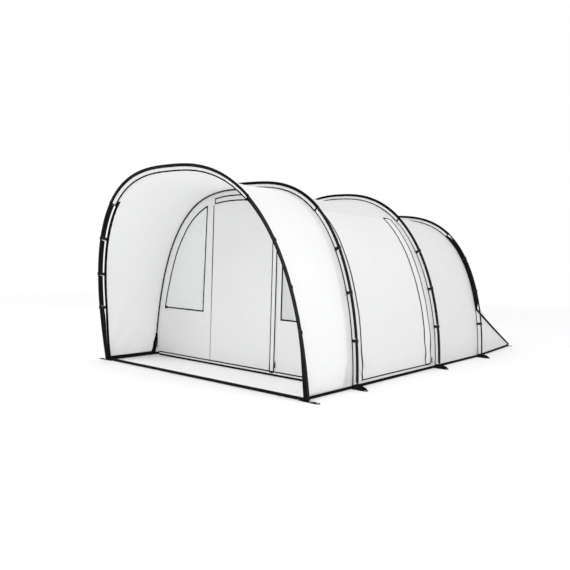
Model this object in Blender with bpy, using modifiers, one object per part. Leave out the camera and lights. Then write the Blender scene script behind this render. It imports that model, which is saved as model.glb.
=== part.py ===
"""Four-hoop tunnel tent: bent poles outside, flysheet hung from them in sleeves and clips,
front canopy, panelled front with a zipped door, a lifting side door, and an inner bedroom.

Frame: metres, +Z up, +Y from the canopy towards the rear, +X to the side that has the side door.
The origin is on the ground, in the middle of the tent's footprint box.
"""
import math

import bmesh
import bpy
from mathutils import Matrix, Vector

# ---------------------------------------------------------------- driving dimensions
TENT_LENGTH = 4.600        # front pole feet to rear corners, on the ground
Y_FRONT = -2.1531          # front pole feet
Y_REAR = Y_FRONT + TENT_LENGTH
HALF_WIDTH = 1.300         # centre line to a pole foot
POLE_R = 0.008
SLEEVE_CLEAR = 0.0016      # sleeve cloth to pole
HEM = 0.020                # flysheet hem above the ground
CLOTH = 0.002              # thickness given to every cloth panel
FLY_INSET = 0.050          # pole centre line to the flysheet's outer face
BAY_GAP = 0.0015           # half gap between two bays at a hoop's seam
TAPE = 0.0012

# hoop: distance behind the front feet, height along the hoop, forward lean in degrees,
# fullness of the legs, fullness of the crown
HOOPS = {
    1: (0.000, 1.870, 10.4, 2.65, 2.55),
    2: (0.675, 1.800, 0.0, 2.90, 2.05),
    3: (2.215, 1.825, 0.0, 2.45, 1.97),
    4: (3.300, 1.650, 0.0, 3.05, 2.04),
}
SLEEVE_END = {1: 1.56, 2: 1.55, 3: 1.55, 4: 1.43}          # height of a sleeve's lower end
CLIP_Z = {1: (0.54, 0.88, 1.23), 2: (0.41, 0.82, 1.20),
          3: (0.43, 0.82, 1.21), 4: (0.39, 0.77, 1.145)}
SAG = {1: 0.010, 2: 0.028, 3: 0.020}                       # hollow of each bay between its hoops

PANEL_Y = Y_FRONT + 0.600      # plane of the panelled front
DOOR_L, DOOR_R = -0.420, 0.433  # front door, hinge side and zip side
DOOR_DROP = 0.112              # door head below the panel's arch
SILL_TOP = 0.045
WINDOW_X = 0.500               # straight edge of each window
WINDOW_Z = 0.526
WINDOW_INSET = 0.095

SIDE_Y0 = Y_FRONT + 0.820      # side door, front zip
SIDE_Y1 = Y_FRONT + 2.113      # side door, rear zip
SIDE_Z0, SIDE_Z1 = 0.048, 1.540
FLAP_W = 0.110
HEAD_DROP = 0.0062             # share of the arch by which the side doorway's head is lower at its front end

REAR_X = 1.130                 # rear corner from the centre line
GUSSET_Z = 0.560               # height on the last hoop where the rear side gusset ends

INNER_Y0 = Y_FRONT + 2.330     # bedroom front wall
INNER_GAP = 0.130              # bedroom wall inside the flysheet
TUB_H = 0.100
INNER_DOOR = (-0.520, 0.300)

N_U = 24                       # flysheet strips over the arch
N_POLE = 40

NAME = "tunnel_tent"


# ---------------------------------------------------------------- scene helpers
def clear_scene():
    for ob in list(bpy.data.objects):
        bpy.data.objects.remove(ob, do_unlink=True)


def new_collection(name):
    col = bpy.data.collections.new(name)
    bpy.context.scene.collection.children.link(col)
    return col


clear_scene()
PARTS = new_collection(NAME)
CUTTERS = new_collection(NAME + "_cutters")


def material(name, color, rough, metallic=0.0, alpha=1.0):
    mat = bpy.data.materials.new(name)
    mat.use_nodes = True
    bsdf = mat.node_tree.nodes["Principled BSDF"]
    bsdf.inputs["Base Color"].default_value = (*color, 1.0)
    bsdf.inputs["Roughness"].default_value = rough
    bsdf.inputs["Metallic"].default_value = metallic
    bsdf.inputs["Alpha"].default_value = alpha
    mat.diffuse_color = (*color, alpha)
    return mat


WHITE = (0.86, 0.87, 0.87)
GREY = (0.36, 0.37, 0.38)
BLACK = (0.02, 0.02, 0.022)


def own(ob, color, rough=0.7, metallic=0.0, alpha=1.0):
    ob.data.materials.clear()
    ob.data.materials.append(material(ob.name, color, rough, metallic, alpha))
    return ob


def link(ob, col=None):
    (col or PARTS).objects.link(ob)
    return ob


def mesh_object(name, bm, col=None):
    me = bpy.data.meshes.new(name)
    bm.normal_update()
    bm.to_mesh(me)
    bm.free()
    return link(bpy.data.objects.new(name, me), col)


def as_mesh(ob):
    """Evaluated copy of an object as a plain welded mesh object of the same name."""
    dg = bpy.context.evaluated_depsgraph_get()
    dg.update()
    me = bpy.data.meshes.new_from_object(ob.evaluated_get(dg), depsgraph=dg)
    bm = bmesh.new()
    bm.from_mesh(me)
    bmesh.ops.remove_doubles(bm, verts=bm.verts, dist=0.00002)
    bm.to_mesh(me)
    bm.free()
    name, matrix, parent = ob.name, ob.matrix_world.copy(), ob.parent
    bpy.data.objects.remove(ob, do_unlink=True)
    new = bpy.data.objects.new(name, me)
    new.matrix_world = matrix
    link(new)
    return new


def solidify(ob, thickness, offset=-1.0, even=False):
    mod = ob.modifiers.new("thickness", "SOLIDIFY")
    mod.thickness = thickness
    mod.offset = offset
    mod.use_even_offset = even
    mod.use_quality_normals = True
    return ob


def boolean(ob, other, operation):
    mod = ob.modifiers.new(operation.lower(), "BOOLEAN")
    mod.operation = operation
    mod.solver = "EXACT"
    mod.object = other
    return mod


def cutter(ob):
    for col in list(ob.users_collection):
        col.objects.unlink(ob)
    CUTTERS.objects.link(ob)
    ob.hide_render = True
    ob.display_type = "WIRE"
    return ob


# ---------------------------------------------------------------- the hoops' curves
def lerp(a, b, t):
    return a + (b - a) * t


def smooth(t):
    t = min(max(t, 0.0), 1.0)
    return t * t * (3 - 2 * t)


def hoop_dense(k, inset, z0=0.0, count=3000):
    """Closely spaced (x, z, nx, nz, length so far) along a hoop, right foot over to left foot,
    moved inwards by inset, in the hoop's own plane."""
    _, height, _, n, m = HOOPS[k]
    rows = []
    for i in range(count + 1):
        t = math.pi * i / count
        c, s = math.cos(t), math.sin(t)
        x = math.copysign(abs(c) ** (2 / n), c) * HALF_WIDTH
        z = height * abs(s) ** (2 / m)
        gx = n * abs(x / HALF_WIDTH) ** (n - 1) * math.copysign(1.0, x) / HALF_WIDTH
        gz = m * abs(z / height) ** (m - 1) / height
        g = math.hypot(gx, gz) or 1.0
        gx, gz = gx / g, gz / g
        px, pz = x - inset * gx, z - inset * gz
        if pz >= z0 - 1e-9:
            rows.append([px, pz, gx, gz])
    total = 0.0
    out = [rows[0] + [0.0]]
    for a, b in zip(rows, rows[1:]):
        total += math.hypot(b[0] - a[0], b[1] - a[1])
        out.append(b + [total])
    return out


_CACHE = {}


def hoop_at(k, inset, u, z0=0.0):
    """Point and outward normal at fraction u of the hoop's length, in world space."""
    key = (k, round(inset, 6), round(z0, 6))
    if key not in _CACHE:
        _CACHE[key] = hoop_dense(k, inset, z0)
    rows = _CACHE[key]
    s = min(max(u, 0.0), 1.0) * rows[-1][4]
    lo, hi = 0, len(rows) - 1
    while hi - lo > 1:
        mid = (lo + hi) // 2
        if rows[mid][4] <= s:
            lo = mid
        else:
            hi = mid
    a, b = rows[lo], rows[hi]
    t = (s - a[4]) / ((b[4] - a[4]) or 1.0)
    x, z, nx, nz = (lerp(a[i], b[i], t) for i in range(4))
    base, _, lean, _, _ = HOOPS[k]
    cl, sl = math.cos(math.radians(lean)), math.sin(math.radians(lean))
    point = Vector((x, Y_FRONT + base - z * sl, z * cl))
    normal = Vector((nx, -nz * sl, nz * cl)).normalized()
    return point, normal


def hoop_u_at_height(k, inset, height, z0=0.0):
    """Fraction of the length, on the right leg, at which the hoop reaches a height."""
    lo, hi = 0.0, 0.5
    for _ in range(48):
        mid = (lo + hi) / 2
        if hoop_at(k, inset, mid, z0)[0].z < height:
            lo = mid
        else:
            hi = mid
    return (lo + hi) / 2


def hoop_tangent(k, inset, u, z0=0.0):
    a = hoop_at(k, inset, max(u - 0.002, 0.0), z0)[0]
    b = hoop_at(k, inset, min(u + 0.002, 1.0), z0)[0]
    return (b - a).normalized()


def fly_at(bay, f, u, inset=FLY_INSET, z0=HEM):
    """Flysheet surface of a bay: f runs from its front hoop to its rear hoop, u over the arch."""
    pa, na = hoop_at(bay, inset, u, z0)
    pb, nb = hoop_at(bay + 1, inset, u, z0)
    normal = (na * (1 - f) + nb * f).normalized()
    flat = Vector((normal.x, 0.0, normal.z))
    depth = SAG[bay] * 4 * max(f * (1 - f), 0.0) * math.sin(math.pi * u) ** 0.6 if 0 < u < 1 else 0.0
    return pa.lerp(pb, f) - flat * depth, normal


def fly_f_at_y(bay, y, u, inset=FLY_INSET, z0=HEM):
    """f at which the line of constant u crosses a vertical plane across the tent."""
    ya = hoop_at(bay, inset, u, z0)[0].y
    yb = hoop_at(bay + 1, inset, u, z0)[0].y
    return (y - ya) / (yb - ya)


def rear_at(s, u, inset=FLY_INSET, z0=HEM, end_y=Y_REAR, end_x=REAR_X, end_z=HEM, start=0.0):
    """Rear slope: straight lines from the last hoop down to the rear ground line."""
    p, n = hoop_at(4, inset, u, z0)
    uc = hoop_u_at_height(4, inset, GUSSET_Z, z0)
    spread = 0.024
    if u < uc:
        q = Vector((end_x + spread * (1 - u / uc) * 0.6, end_y - spread * (1 - u / uc), end_z))
    elif u > 1 - uc:
        w = (1 - u) / uc
        q = Vector((-end_x - spread * (1 - w) * 0.6, end_y - spread * (1 - w), end_z))
    else:
        q = Vector((lerp(end_x, -end_x, (u - uc) / (1 - 2 * uc)), end_y, end_z))
    return p.lerp(q, s)


# ---------------------------------------------------------------- surface builders
def grid_surface(name, rows, skip=None):
    """Open sheet through rows of points; each row runs right to left, rows run front to rear.
    skip(i, j) leaves a cell out."""
    bm = bmesh.new()
    verts = [[bm.verts.new(p) for p in row] for row in rows]
    for i in range(len(rows) - 1):
        for j in range(len(rows[0]) - 1):
            if skip and skip(i, j):
                continue
            bm.faces.new((verts[i][j], verts[i + 1][j], verts[i + 1][j + 1], verts[i][j + 1]))
    loose = [v for v in bm.verts if not v.link_faces]
    bmesh.ops.delete(bm, geom=loose, context="VERTS")
    return mesh_object(name, bm)


def flat_outline(name, outlines, thickness, matrix):
    """Flat cloth or film panel: the first outline is the edge, the others are holes."""
    cu = bpy.data.curves.new(name, "CURVE")
    cu.dimensions = "2D"
    cu.fill_mode = "BOTH"
    cu.extrude = thickness / 2
    cu.resolution_u = 1
    for line in outlines:
        sp = cu.splines.new("POLY")
        sp.points.add(len(line) - 1)
        for pt, (x, y) in zip(sp.points, line):
            pt.co = (x, y, 0.0, 1.0)
        sp.use_cyclic_u = True
    ob = link(bpy.data.objects.new(name, cu))
    ob.matrix_world = matrix
    return ob


def upright(y):
    """Curve plane X, Y stands up as world X, Z at the given y."""
    return Matrix.Translation((0.0, y, 0.0)) @ Matrix.Rotation(math.radians(90), 4, "X")


def tube(name, points, radius, resolution=2, cyclic=False):
    cu = bpy.data.curves.new(name, "CURVE")
    cu.dimensions = "3D"
    cu.bevel_depth = radius
    cu.bevel_resolution = resolution
    cu.use_fill_caps = not cyclic
    sp = cu.splines.new("POLY")
    sp.points.add(len(points) - 1)
    for pt, p in zip(sp.points, points):
        pt.co = (*p, 1.0)
    sp.use_cyclic_u = cyclic
    return link(bpy.data.objects.new(name, cu))


def box(name, size, centre, bevel=0.0, col=None):
    bm = bmesh.new()
    bmesh.ops.create_cube(bm, size=1.0)
    bmesh.ops.scale(bm, verts=bm.verts, vec=size)
    ob = mesh_object(name, bm, col)
    ob.location = centre
    if bevel:
        mod = ob.modifiers.new("edges", "BEVEL")
        mod.width = bevel
        mod.segments = 1
    return ob


def cylinder(name, radius, depth, matrix, sides=10, col=None):
    bm = bmesh.new()
    bmesh.ops.create_cone(bm, cap_ends=True, segments=sides, radius1=radius, radius2=radius,
                          depth=depth)
    ob = mesh_object(name, bm, col)
    ob.matrix_world = matrix
    return ob


def frame_matrix(origin, x_axis, y_axis, z_axis):
    m = Matrix.Identity(4)
    for col, axis in enumerate((x_axis, y_axis, z_axis)):
        for row in range(3):
            m[row][col] = axis[row]
    m.translation = origin
    return m


# ---------------------------------------------------------------- poles
BORE_R, BORE_DEPTH = 0.0050, 0.055
PIN_R = 0.0042
POLE_START = 0.0110            # pole end above the ground, measured along the hoop


def pole_us(k):
    total = _length(k, 0.0)
    u0 = POLE_START / total
    return [u0 + (1 - 2 * u0) * i / N_POLE for i in range(N_POLE + 1)]


def _length(k, inset, z0=0.0):
    hoop_at(k, inset, 0.5, z0)
    return _CACHE[(k, round(inset, 6), round(z0, 6))][-1][4]


def on_pole(k, u):
    """Point and normal on the pole as it is faceted, so that what runs along it stays parallel."""
    us = pole_us(k)
    j = min(max(int((u - us[0]) / (us[1] - us[0])), 0), N_POLE - 1)
    t = (u - us[j]) / (us[1] - us[0])
    pa, na = hoop_at(k, 0.0, us[j])
    pb, nb = hoop_at(k, 0.0, us[j + 1])
    return pa.lerp(pb, t), na.lerp(nb, t).normalized()


for k in HOOPS:
    points = [hoop_at(k, 0.0, u)[0] for u in pole_us(k)]
    pole = as_mesh(tube("pole_%d" % k, points, POLE_R))
    for side, (end, nxt) in enumerate(((points[0], points[1]), (points[-1], points[-2]))):
        axis = (nxt - end).normalized()
        rot = axis.to_track_quat("Z", "Y").to_matrix().to_4x4()
        bore = cylinder("bore_%d_%d" % (k, side), BORE_R, BORE_DEPTH + 0.01,
                        Matrix.Translation(end + axis * (BORE_DEPTH - 0.01) / 2) @ rot, 8)
        boolean(pole, cutter(bore), "DIFFERENCE")
    own(pole, BLACK, 0.4)


# ---------------------------------------------------------------- sleeves over the crowns
def sleeve_profile():
    """Half-open pocket round the pole, in (outward, along Y): up one side, round, down."""
    r = POLE_R + SLEEVE_CLEAR
    pts = [(-FLY_INSET + 0.0060, 0.0042), (-0.016, 0.0066)]
    for i in range(5):
        a = math.radians(115 - 230 * i / 4)
        pts.append((r * math.cos(a), r * math.sin(a)))
    pts += [(-0.016, -0.0066), (-FLY_INSET + 0.0060, -0.0042)]
    return pts


def sleeve_stations(k):
    ue = hoop_u_at_height(k, 0.0, SLEEVE_END[k])
    inner = [u for u in pole_us(k) if ue <= u <= 1 - ue]
    if inner[0] - ue > 0.004:
        inner = [ue] + inner + [1 - ue]
    return inner


for k in HOOPS:
    lean = math.radians(HOOPS[k][2])
    across = Vector((0.0, math.cos(lean), math.sin(lean)))
    rows = []
    for u in sleeve_stations(k):
        p, n = on_pole(k, u)
        rows.append([p + n * a + across * b for a, b in sleeve_profile()])
    sleeve = grid_surface("sleeve_%d" % k, rows)
    solidify(sleeve, 0.0010, offset=1.0)
    own(sleeve, WHITE)


# ---------------------------------------------------------------- clip strips
CLIP_IN = POLE_R + 0.0006
CLIP_OUT = CLIP_IN + 0.0032


def clip_outline():
    """Snap hook round the pole and its stem, in (outward, along Y). The mouth faces rearward."""
    pts = []
    a0, a1 = 78.0, 372.0
    steps = 8
    w = 0.0022
    split = 180.0
    for i in range(steps + 1):
        a = lerp(a0, a1, i / steps)
        prev = lerp(a0, a1, (i - 1) / steps)
        if prev < split <= a:
            pts += [(-CLIP_OUT * 0.99, w), (-FLY_INSET + 0.0038, w),
                    (-FLY_INSET + 0.0038, -w), (-CLIP_OUT * 0.99, -w)]
            if abs(a - split) < 8:
                continue
        pts.append((CLIP_OUT * math.cos(math.radians(a)), CLIP_OUT * math.sin(math.radians(a))))
    for i in range(steps + 1):
        a = lerp(a1, a0, i / steps)
        pts.append((CLIP_IN * math.cos(math.radians(a)), CLIP_IN * math.sin(math.radians(a))))
    return pts


def clip_body(name, origin, outward, across, along, length=0.020):
    bm = bmesh.new()
    verts = [bm.verts.new((x, y, -length / 2)) for x, y in clip_outline()]
    face = bm.faces.new(verts)
    res = bmesh.ops.extrude_face_region(bm, geom=[face])
    moved = [g for g in res["geom"] if isinstance(g, bmesh.types.BMVert)]
    bmesh.ops.translate(bm, verts=moved, vec=(0, 0, length))
    bmesh.ops.recalc_face_normals(bm, faces=bm.faces)
    ob = mesh_object(name, bm)
    ob.matrix_world = frame_matrix(origin, outward, across, along)
    return ob


for k in HOOPS:
    lean = math.radians(HOOPS[k][2])
    across = Vector((0.0, math.cos(lean), math.sin(lean)))
    u_top = hoop_u_at_height(k, 0.0, SLEEVE_END[k] - 0.02)
    u_low = 0.045 / _length(k, 0.0)
    for side, sign in (("right", 1), ("left", -1)):
        rows = []
        steps = 16
        for i in range(steps + 1):
            u = lerp(u_low, u_top, i / steps)
            u = u if sign > 0 else 1 - u
            p, n = hoop_at(k, 0.0, u)
            base = p - n * (FLY_INSET - 0.0032)
            rows.append([base + across * 0.010 * sign, base - across * 0.010 * sign])
        strip = grid_surface("clip_strip_%d_%s" % (k, side), rows)
        bm = bmesh.new()
        bm.from_mesh(strip.data)
        bmesh.ops.recalc_face_normals(bm, faces=bm.faces)
        faces = list(bm.faces)
        mid = faces[len(faces) // 2]
        outward_x = sign
        if mid.normal.x * outward_x < 0:
            bmesh.ops.reverse_faces(bm, faces=bm.faces)
        bm.to_mesh(strip.data)
        bm.free()
        solidify(strip, TAPE, offset=1.0)
        strip = as_mesh(strip)
        for c, z in enumerate(CLIP_Z[k]):
            # the hook sits square on the straight run of pole that passes through it
            us = pole_us(k)
            u = hoop_u_at_height(k, 0.0, z)
            j = min(range(len(us) - 1), key=lambda i: abs((us[i] + us[i + 1]) / 2 - u))
            a, b = hoop_at(k, 0.0, us[j])[0], hoop_at(k, 0.0, us[j + 1])[0]
            along = (b - a).normalized()
            t = min(max((u - us[j]) / (us[j + 1] - us[j]), 0.2), 0.8)
            origin = a.lerp(b, t)
            if sign < 0:
                origin.x, along.x = -origin.x, -along.x
            outward = across.cross(along) if sign > 0 else along.cross(across)
            if outward.x * sign < 0:
                outward = -outward
            z_axis = outward.cross(across)
            hook = clip_body("hook_%d_%s_%d" % (k, side, c), origin, outward, across, z_axis)
            boolean(strip, cutter(hook), "UNION")
        own(strip, BLACK, 0.5)


# ---------------------------------------------------------------- pole feet
TAB_IN, TAB_OUT, TAB_W, TAB_T = 1.205, 1.402, 0.050, 0.0030
EYE_X, EYE_R = 1.378, 0.0065


def tab_outline(sign):
    """Ground tab: narrow under the hem, widening round the pole foot to a rounded peg end."""
    half = []
    steps = 5
    for i in range(steps + 1):
        t = i / steps
        half.append((lerp(TAB_IN, 1.340, t), lerp(0.016, TAB_W / 2, smooth(t))))
    for i in range(1, 6):
        a = math.radians(90 - 90 * i / 5)
        half.append((1.374 + (TAB_OUT - 1.374) * math.cos(a), TAB_W / 2 * math.sin(a)))
    pts = half + [(x, -y) for x, y in reversed(half[:-1])]
    return [(x * sign, y) for x, y in pts]


def eye_outline(sign, x, r=EYE_R):
    return [(x * sign + r * math.cos(math.radians(45 * i)), r * math.sin(math.radians(45 * i)))
            for i in range(8)]


for k in HOOPS:
    base = HOOPS[k][0]
    lean = math.radians(HOOPS[k][2])
    for side, sign in (("right", 1), ("left", -1)):
        y = Y_FRONT + base
        tab = flat_outline("foot_tab_%d_%s" % (k, side), [tab_outline(sign), eye_outline(sign, EYE_X)],
                           TAB_T, Matrix.Translation((0.0, y, TAB_T / 2)))
        own(tab, BLACK, 0.8)
        # ring lying on the tab, with the pin that stands up into the pole's bore
        p0, p1 = (hoop_at(k, 0.0, u)[0] for u in pole_us(k)[:2])
        axis = (p1 - p0).normalized()
        foot = p0 - axis * (p0.z / axis.z)
        axis.x, foot.x = axis.x * sign, foot.x * sign
        bpy.ops.mesh.primitive_torus_add(major_radius=0.015, minor_radius=0.0024, major_segments=10,
                                         minor_segments=5)
        ring = bpy.context.active_object
        for col in list(ring.users_collection):
            col.objects.unlink(ring)
        link(ring)
        ring.name = "ring_pin_%d_%s" % (k, side)
        ring.location = (foot.x + 0.0150 * sign, y, TAB_T + 0.0003 + 0.0024)
        start = foot + axis * 0.0045
        rot = axis.to_track_quat("Z", "Y").to_matrix().to_4x4()
        pin = cylinder("pin_%d_%s" % (k, side), PIN_R, 0.050,
                       Matrix.Translation(start + axis * 0.025) @ rot, 8)
        boolean(ring, cutter(pin), "UNION")
        own(ring, (0.62, 0.63, 0.65), 0.3, 1.0)


# ---------------------------------------------------------------- flysheet bays
def bay_rows(bay, fs, us, inset=FLY_INSET, z0=HEM):
    return [[fly_at(bay, f, u, inset, z0)[0] for u in us] for f in fs]


def bay_ends(bay, trim=BAY_GAP):
    """f at either end, trimmed by the seam gap."""
    span = abs(HOOPS[bay + 1][0] - HOOPS[bay][0])
    return trim / span, 1 - trim / span


US = [i / N_U for i in range(N_U + 1)]

f0, f1 = bay_ends(1)
fly_porch = grid_surface("fly_porch", bay_rows(1, [lerp(-0.006, f1, t) for t in (0, .25, .5, .75, 1)], US))
solidify(fly_porch, CLOTH)
own(fly_porch, WHITE)

# living bay with the side doorway left out of the sheet
SIDE_GAP = 0.0010
f0, f1 = bay_ends(2)
fa = fly_f_at_y(2, SIDE_Y0, 0.2)
fb = fly_f_at_y(2, SIDE_Y1, 0.2)


def mid_u(height):
    lo, hi = 0.0, 0.5
    for _ in range(40):
        mid = (lo + hi) / 2
        if fly_at(2, (fa + fb) / 2, mid)[0].z < height:
            lo = mid
        else:
            hi = mid
    return (lo + hi) / 2


UA, UB = mid_u(SIDE_Z0), mid_u(SIDE_Z1)
N_SIDE = 8
door_us = [lerp(UA, UB, i / N_SIDE) for i in range(N_SIDE + 1)]
n_rest = 15
us2 = [0.0] + door_us + [lerp(UB, 1.0, i / n_rest) for i in range(1, n_rest + 1)]
fs2 = [f0, fa, lerp(fa, fb, 1 / 3), lerp(fa, fb, 2 / 3), fb, f1]


def living_us(i):
    """Stations of one row: at the doorway's front end its head is lower, so that the leaf, which
    bulges there, lifts clear of it."""
    if i != 1:
        return us2
    top = UB - HEAD_DROP
    return [0.0] + [lerp(UA, top, j / N_SIDE) for j in range(N_SIDE + 1)] + \
        [lerp(top, 1.0, j / n_rest) for j in range(1, n_rest + 1)]


fly_living = grid_surface("fly_living", [[fly_at(2, f, u)[0] for u in living_us(i)] for i, f in enumerate(fs2)],
                          skip=lambda i, j: 1 <= i <= 3 and 1 <= j <= N_SIDE)
solidify(fly_living, CLOTH)
own(fly_living, WHITE)

f0, f1 = bay_ends(3)
fly_bedroom = grid_surface("fly_bedroom", bay_rows(3, [lerp(f0, f1, t) for t in (0, 1 / 3, 2 / 3, 1)], US))
solidify(fly_bedroom, CLOTH)
own(fly_bedroom, WHITE)

UC = hoop_u_at_height(4, FLY_INSET, GUSSET_Z, HEM)
us4 = [lerp(0, UC, i / 3) for i in range(3)] + [lerp(UC, 1 - UC, i / 18) for i in range(19)] + \
      [lerp(1 - UC, 1, i / 3) for i in range(1, 4)]
rear_rows = [[rear_at(s, u) for u in us4] for s in (0.002, 0.33, 0.66, 1.0)]
fly_rear = grid_surface("fly_rear", rear_rows)
solidify(fly_rear, CLOTH)
own(fly_rear, WHITE)

# ---------------------------------------------------------------- side door leaf
LEAF_GAP_F = SIDE_GAP / 1.54
leaf_us = list(door_us)
leaf_us[0] += 0.0003
leaf_us[-1] -= 0.0004
leaf_fs = [lerp(fa + LEAF_GAP_F, fb - LEAF_GAP_F, i / 3) for i in range(4)]


def piecewise(rows_fs, f, u):
    """Point on the sheet as it is faceted along the bay, so that pieces laid on it stay parallel."""
    i = max(j for j in range(len(rows_fs) - 1) if rows_fs[j] <= f + 1e-9 or j == 0)
    a, b = rows_fs[i], rows_fs[i + 1]
    return fly_at(2, a, u)[0].lerp(fly_at(2, b, u)[0], (f - a) / (b - a))


HINGE_OUT, HINGE_UP = 0.0046, 0.0026       # axis above the leaf's outer face, and above its top edge
HINGE_N = fly_at(2, 0.5, leaf_us[-1])[1]
HINGE_P = piecewise(fs2, lerp(fa, fb, 0.5), leaf_us[-1]) + HINGE_N * HINGE_OUT + \
    Vector((-HINGE_N.z, 0.0, HINGE_N.x)) * HINGE_UP
side_pivot = bpy.data.objects.new("side_door_hinge_axis", None)
side_pivot.location = HINGE_P
link(side_pivot)
f_flap0 = fly_f_at_y(2, SIDE_Y1 - FLAP_W, 0.2)
fs_leaf_rows = [leaf_fs[0], fs2[2], fs2[3], f_flap0, leaf_fs[3]]
leaf_rows = [[piecewise(fs2, f, u) for u in leaf_us] for f in fs_leaf_rows]
t0 = (leaf_fs[0] - fa) / (fs2[2] - fa)
leaf_rows[0] = [fly_at(2, fa, lerp(UA + 0.0003, UB - HEAD_DROP - 0.0004, j / N_SIDE))[0].lerp(
    fly_at(2, fs2[2], leaf_us[j])[0], t0) for j in range(N_SIDE + 1)]
side_leaf = grid_surface("side_door_leaf", leaf_rows)
solidify(side_leaf, CLOTH)
own(side_leaf, WHITE)

# storm flap sewn along the leaf's rear edge, on its outer face
flap_us = list(leaf_us)
flap_us[0] += 0.0008
flap_us[-1] -= 0.0010
rows = []
for f in (f_flap0, fb - LEAF_GAP_F * 2.5):
    rows.append([piecewise(fs2, f, u) + fly_at(2, f, u)[1] * 0.0006 for u in flap_us])
side_flap = grid_surface("side_storm_flap", rows)
solidify(side_flap, 0.0012, offset=1.0)
own(side_flap, WHITE)
for ob in (side_leaf, side_flap):
    ob.parent = side_pivot
    ob.matrix_parent_inverse = Matrix.Translation(HINGE_P).inverted()

# ---------------------------------------------------------------- side zip slider on its arc
ZIP_F = fly_f_at_y(2, SIDE_Y1 + 0.017, 0.2)


def circle_through(a, b, c):
    """Centre (x, z) of the circle through three points in the XZ plane."""
    ax, az, bx, bz, cx, cz = a.x, a.z, b.x, b.z, c.x, c.z
    d = 2 * (ax * (bz - cz) + bx * (cz - az) + cx * (az - bz))
    ux = ((ax * ax + az * az) * (bz - cz) + (bx * bx + bz * bz) * (cz - az) + (cx * cx + cz * cz) * (az - bz)) / d
    uz = ((ax * ax + az * az) * (cx - bx) + (bx * bx + bz * bz) * (ax - cx) + (cx * cx + cz * cz) * (bx - ax)) / d
    return Vector((ux, 0.0, uz))


def u_at_z_bay2(f, height):
    lo, hi = 0.0, 0.5
    for _ in range(40):
        mid = (lo + hi) / 2
        if piecewise(fs2, f, mid).z < height:
            lo = mid
        else:
            hi = mid
    return (lo + hi) / 2


def wall_point(height):
    """The wall's faceted outer face at the side zip, at a height."""
    u = u_at_z_bay2(ZIP_F, height)
    j = max(i for i in range(len(us2) - 1) if us2[i] <= u)
    a, b = piecewise(fs2, ZIP_F, us2[j]), piecewise(fs2, ZIP_F, us2[j + 1])
    t = (height - a.z) / (b.z - a.z)
    return a.lerp(b, t)


SLIDER_Z0, SLIDER_Z1 = 0.110, 0.900
arc_centre = circle_through(wall_point(SLIDER_Z0), wall_point((SLIDER_Z0 + SLIDER_Z1) / 2),
                            wall_point(SLIDER_Z1))
zip_y = wall_point(0.5).y
arc_centre.y = zip_y
ARC_R = (wall_point(SLIDER_Z0) - arc_centre).length
clear = max((wall_point(z) - arc_centre).length
            for z in [SLIDER_Z0 - 0.02 + 0.01 * i for i in range(84)]) - ARC_R
SLIDER_LIFT = 0.0008 + clear
start_dir = (wall_point(SLIDER_Z0) - arc_centre).normalized()
end_dir = (wall_point(SLIDER_Z1) - arc_centre).normalized()
ARC_DEG = math.degrees(math.acos(max(-1.0, min(1.0, start_dir.dot(end_dir)))))
arc_pivot = bpy.data.objects.new("side_zip_arc_axis", None)
arc_pivot.location = arc_centre
link(arc_pivot)

SL_L, SL_W, SL_T = 0.026, 0.013, 0.0045
BRIDGE_W = 0.0042
PULL_OUT = 0.0016            # pull tab's bar above the slider's body


def slider_parts(name, matrix):
    """Zip slider: a bevelled body with an open bridge on it.
    Local axes: Z along the zip (up), X out of the cloth, Y across the zip."""
    body = box(name, (SL_T, SL_W, SL_L), (0, 0, 0), 0.0010)
    body.matrix_world = matrix @ Matrix.Translation((SL_T / 2, 0, 0))
    outline = ((-1, -0.0045), (0.0049, -0.0045), (0.0049, 0.0045), (-1, 0.0045),
               (-1, 0.0027), (0.0034, 0.0027), (0.0034, -0.0027), (-1, -0.0027))
    bm = bmesh.new()
    verts = [bm.verts.new((max(x, -0.0010), -BRIDGE_W / 2, z)) for x, z in outline]
    face = bm.faces.new(verts)
    res = bmesh.ops.extrude_face_region(bm, geom=[face])
    moved = [g for g in res["geom"] if isinstance(g, bmesh.types.BMVert)]
    bmesh.ops.translate(bm, verts=moved, vec=(0, BRIDGE_W, 0))
    bmesh.ops.recalc_face_normals(bm, faces=bm.faces)
    bridge = mesh_object(name + "_bridge", bm)
    bridge.matrix_world = matrix @ Matrix.Translation((SL_T, 0, 0))
    boolean(body, cutter(bridge), "UNION")
    own(body, (0.62, 0.63, 0.65), 0.35, 1.0)
    return body


def puller(name, matrix):
    """Pull tab whose top bar lies in the slider's bridge: local X across the zip, Y up along it,
    Z out of the cloth, origin on the bar's axis."""
    w, l, bar = 0.0108, 0.052, 0.0009
    pts = [(w / 2 - 0.0012, bar), (-w / 2 + 0.0012, bar), (-w / 2, bar - 0.0012), (-w / 2, -0.012),
           (-w / 2 * 1.25, -l + 0.006), (-w / 2 * 0.8, -l), (w / 2 * 0.8, -l),
           (w / 2 * 1.25, -l + 0.006), (w / 2, -0.012), (w / 2, bar - 0.0012)]
    eye = [(0.0029, -bar), (-0.0029, -bar), (-0.0029, -0.0066), (0.0029, -0.0066)]
    ob = flat_outline(name, [pts, eye], 0.0018, matrix)
    own(ob, BLACK, 0.5)
    return ob


def pull_matrix(slider_matrix):
    """Frame of a pull tab at rest, lying along the zip below its bridge."""
    origin = slider_matrix @ Vector((SL_T + PULL_OUT, 0.0, 0.0))
    rot = slider_matrix.to_3x3()
    return frame_matrix(origin, rot @ Vector((0, 1, 0)), rot @ Vector((0, 0, 1)), rot @ Vector((1, 0, 0)))


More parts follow.
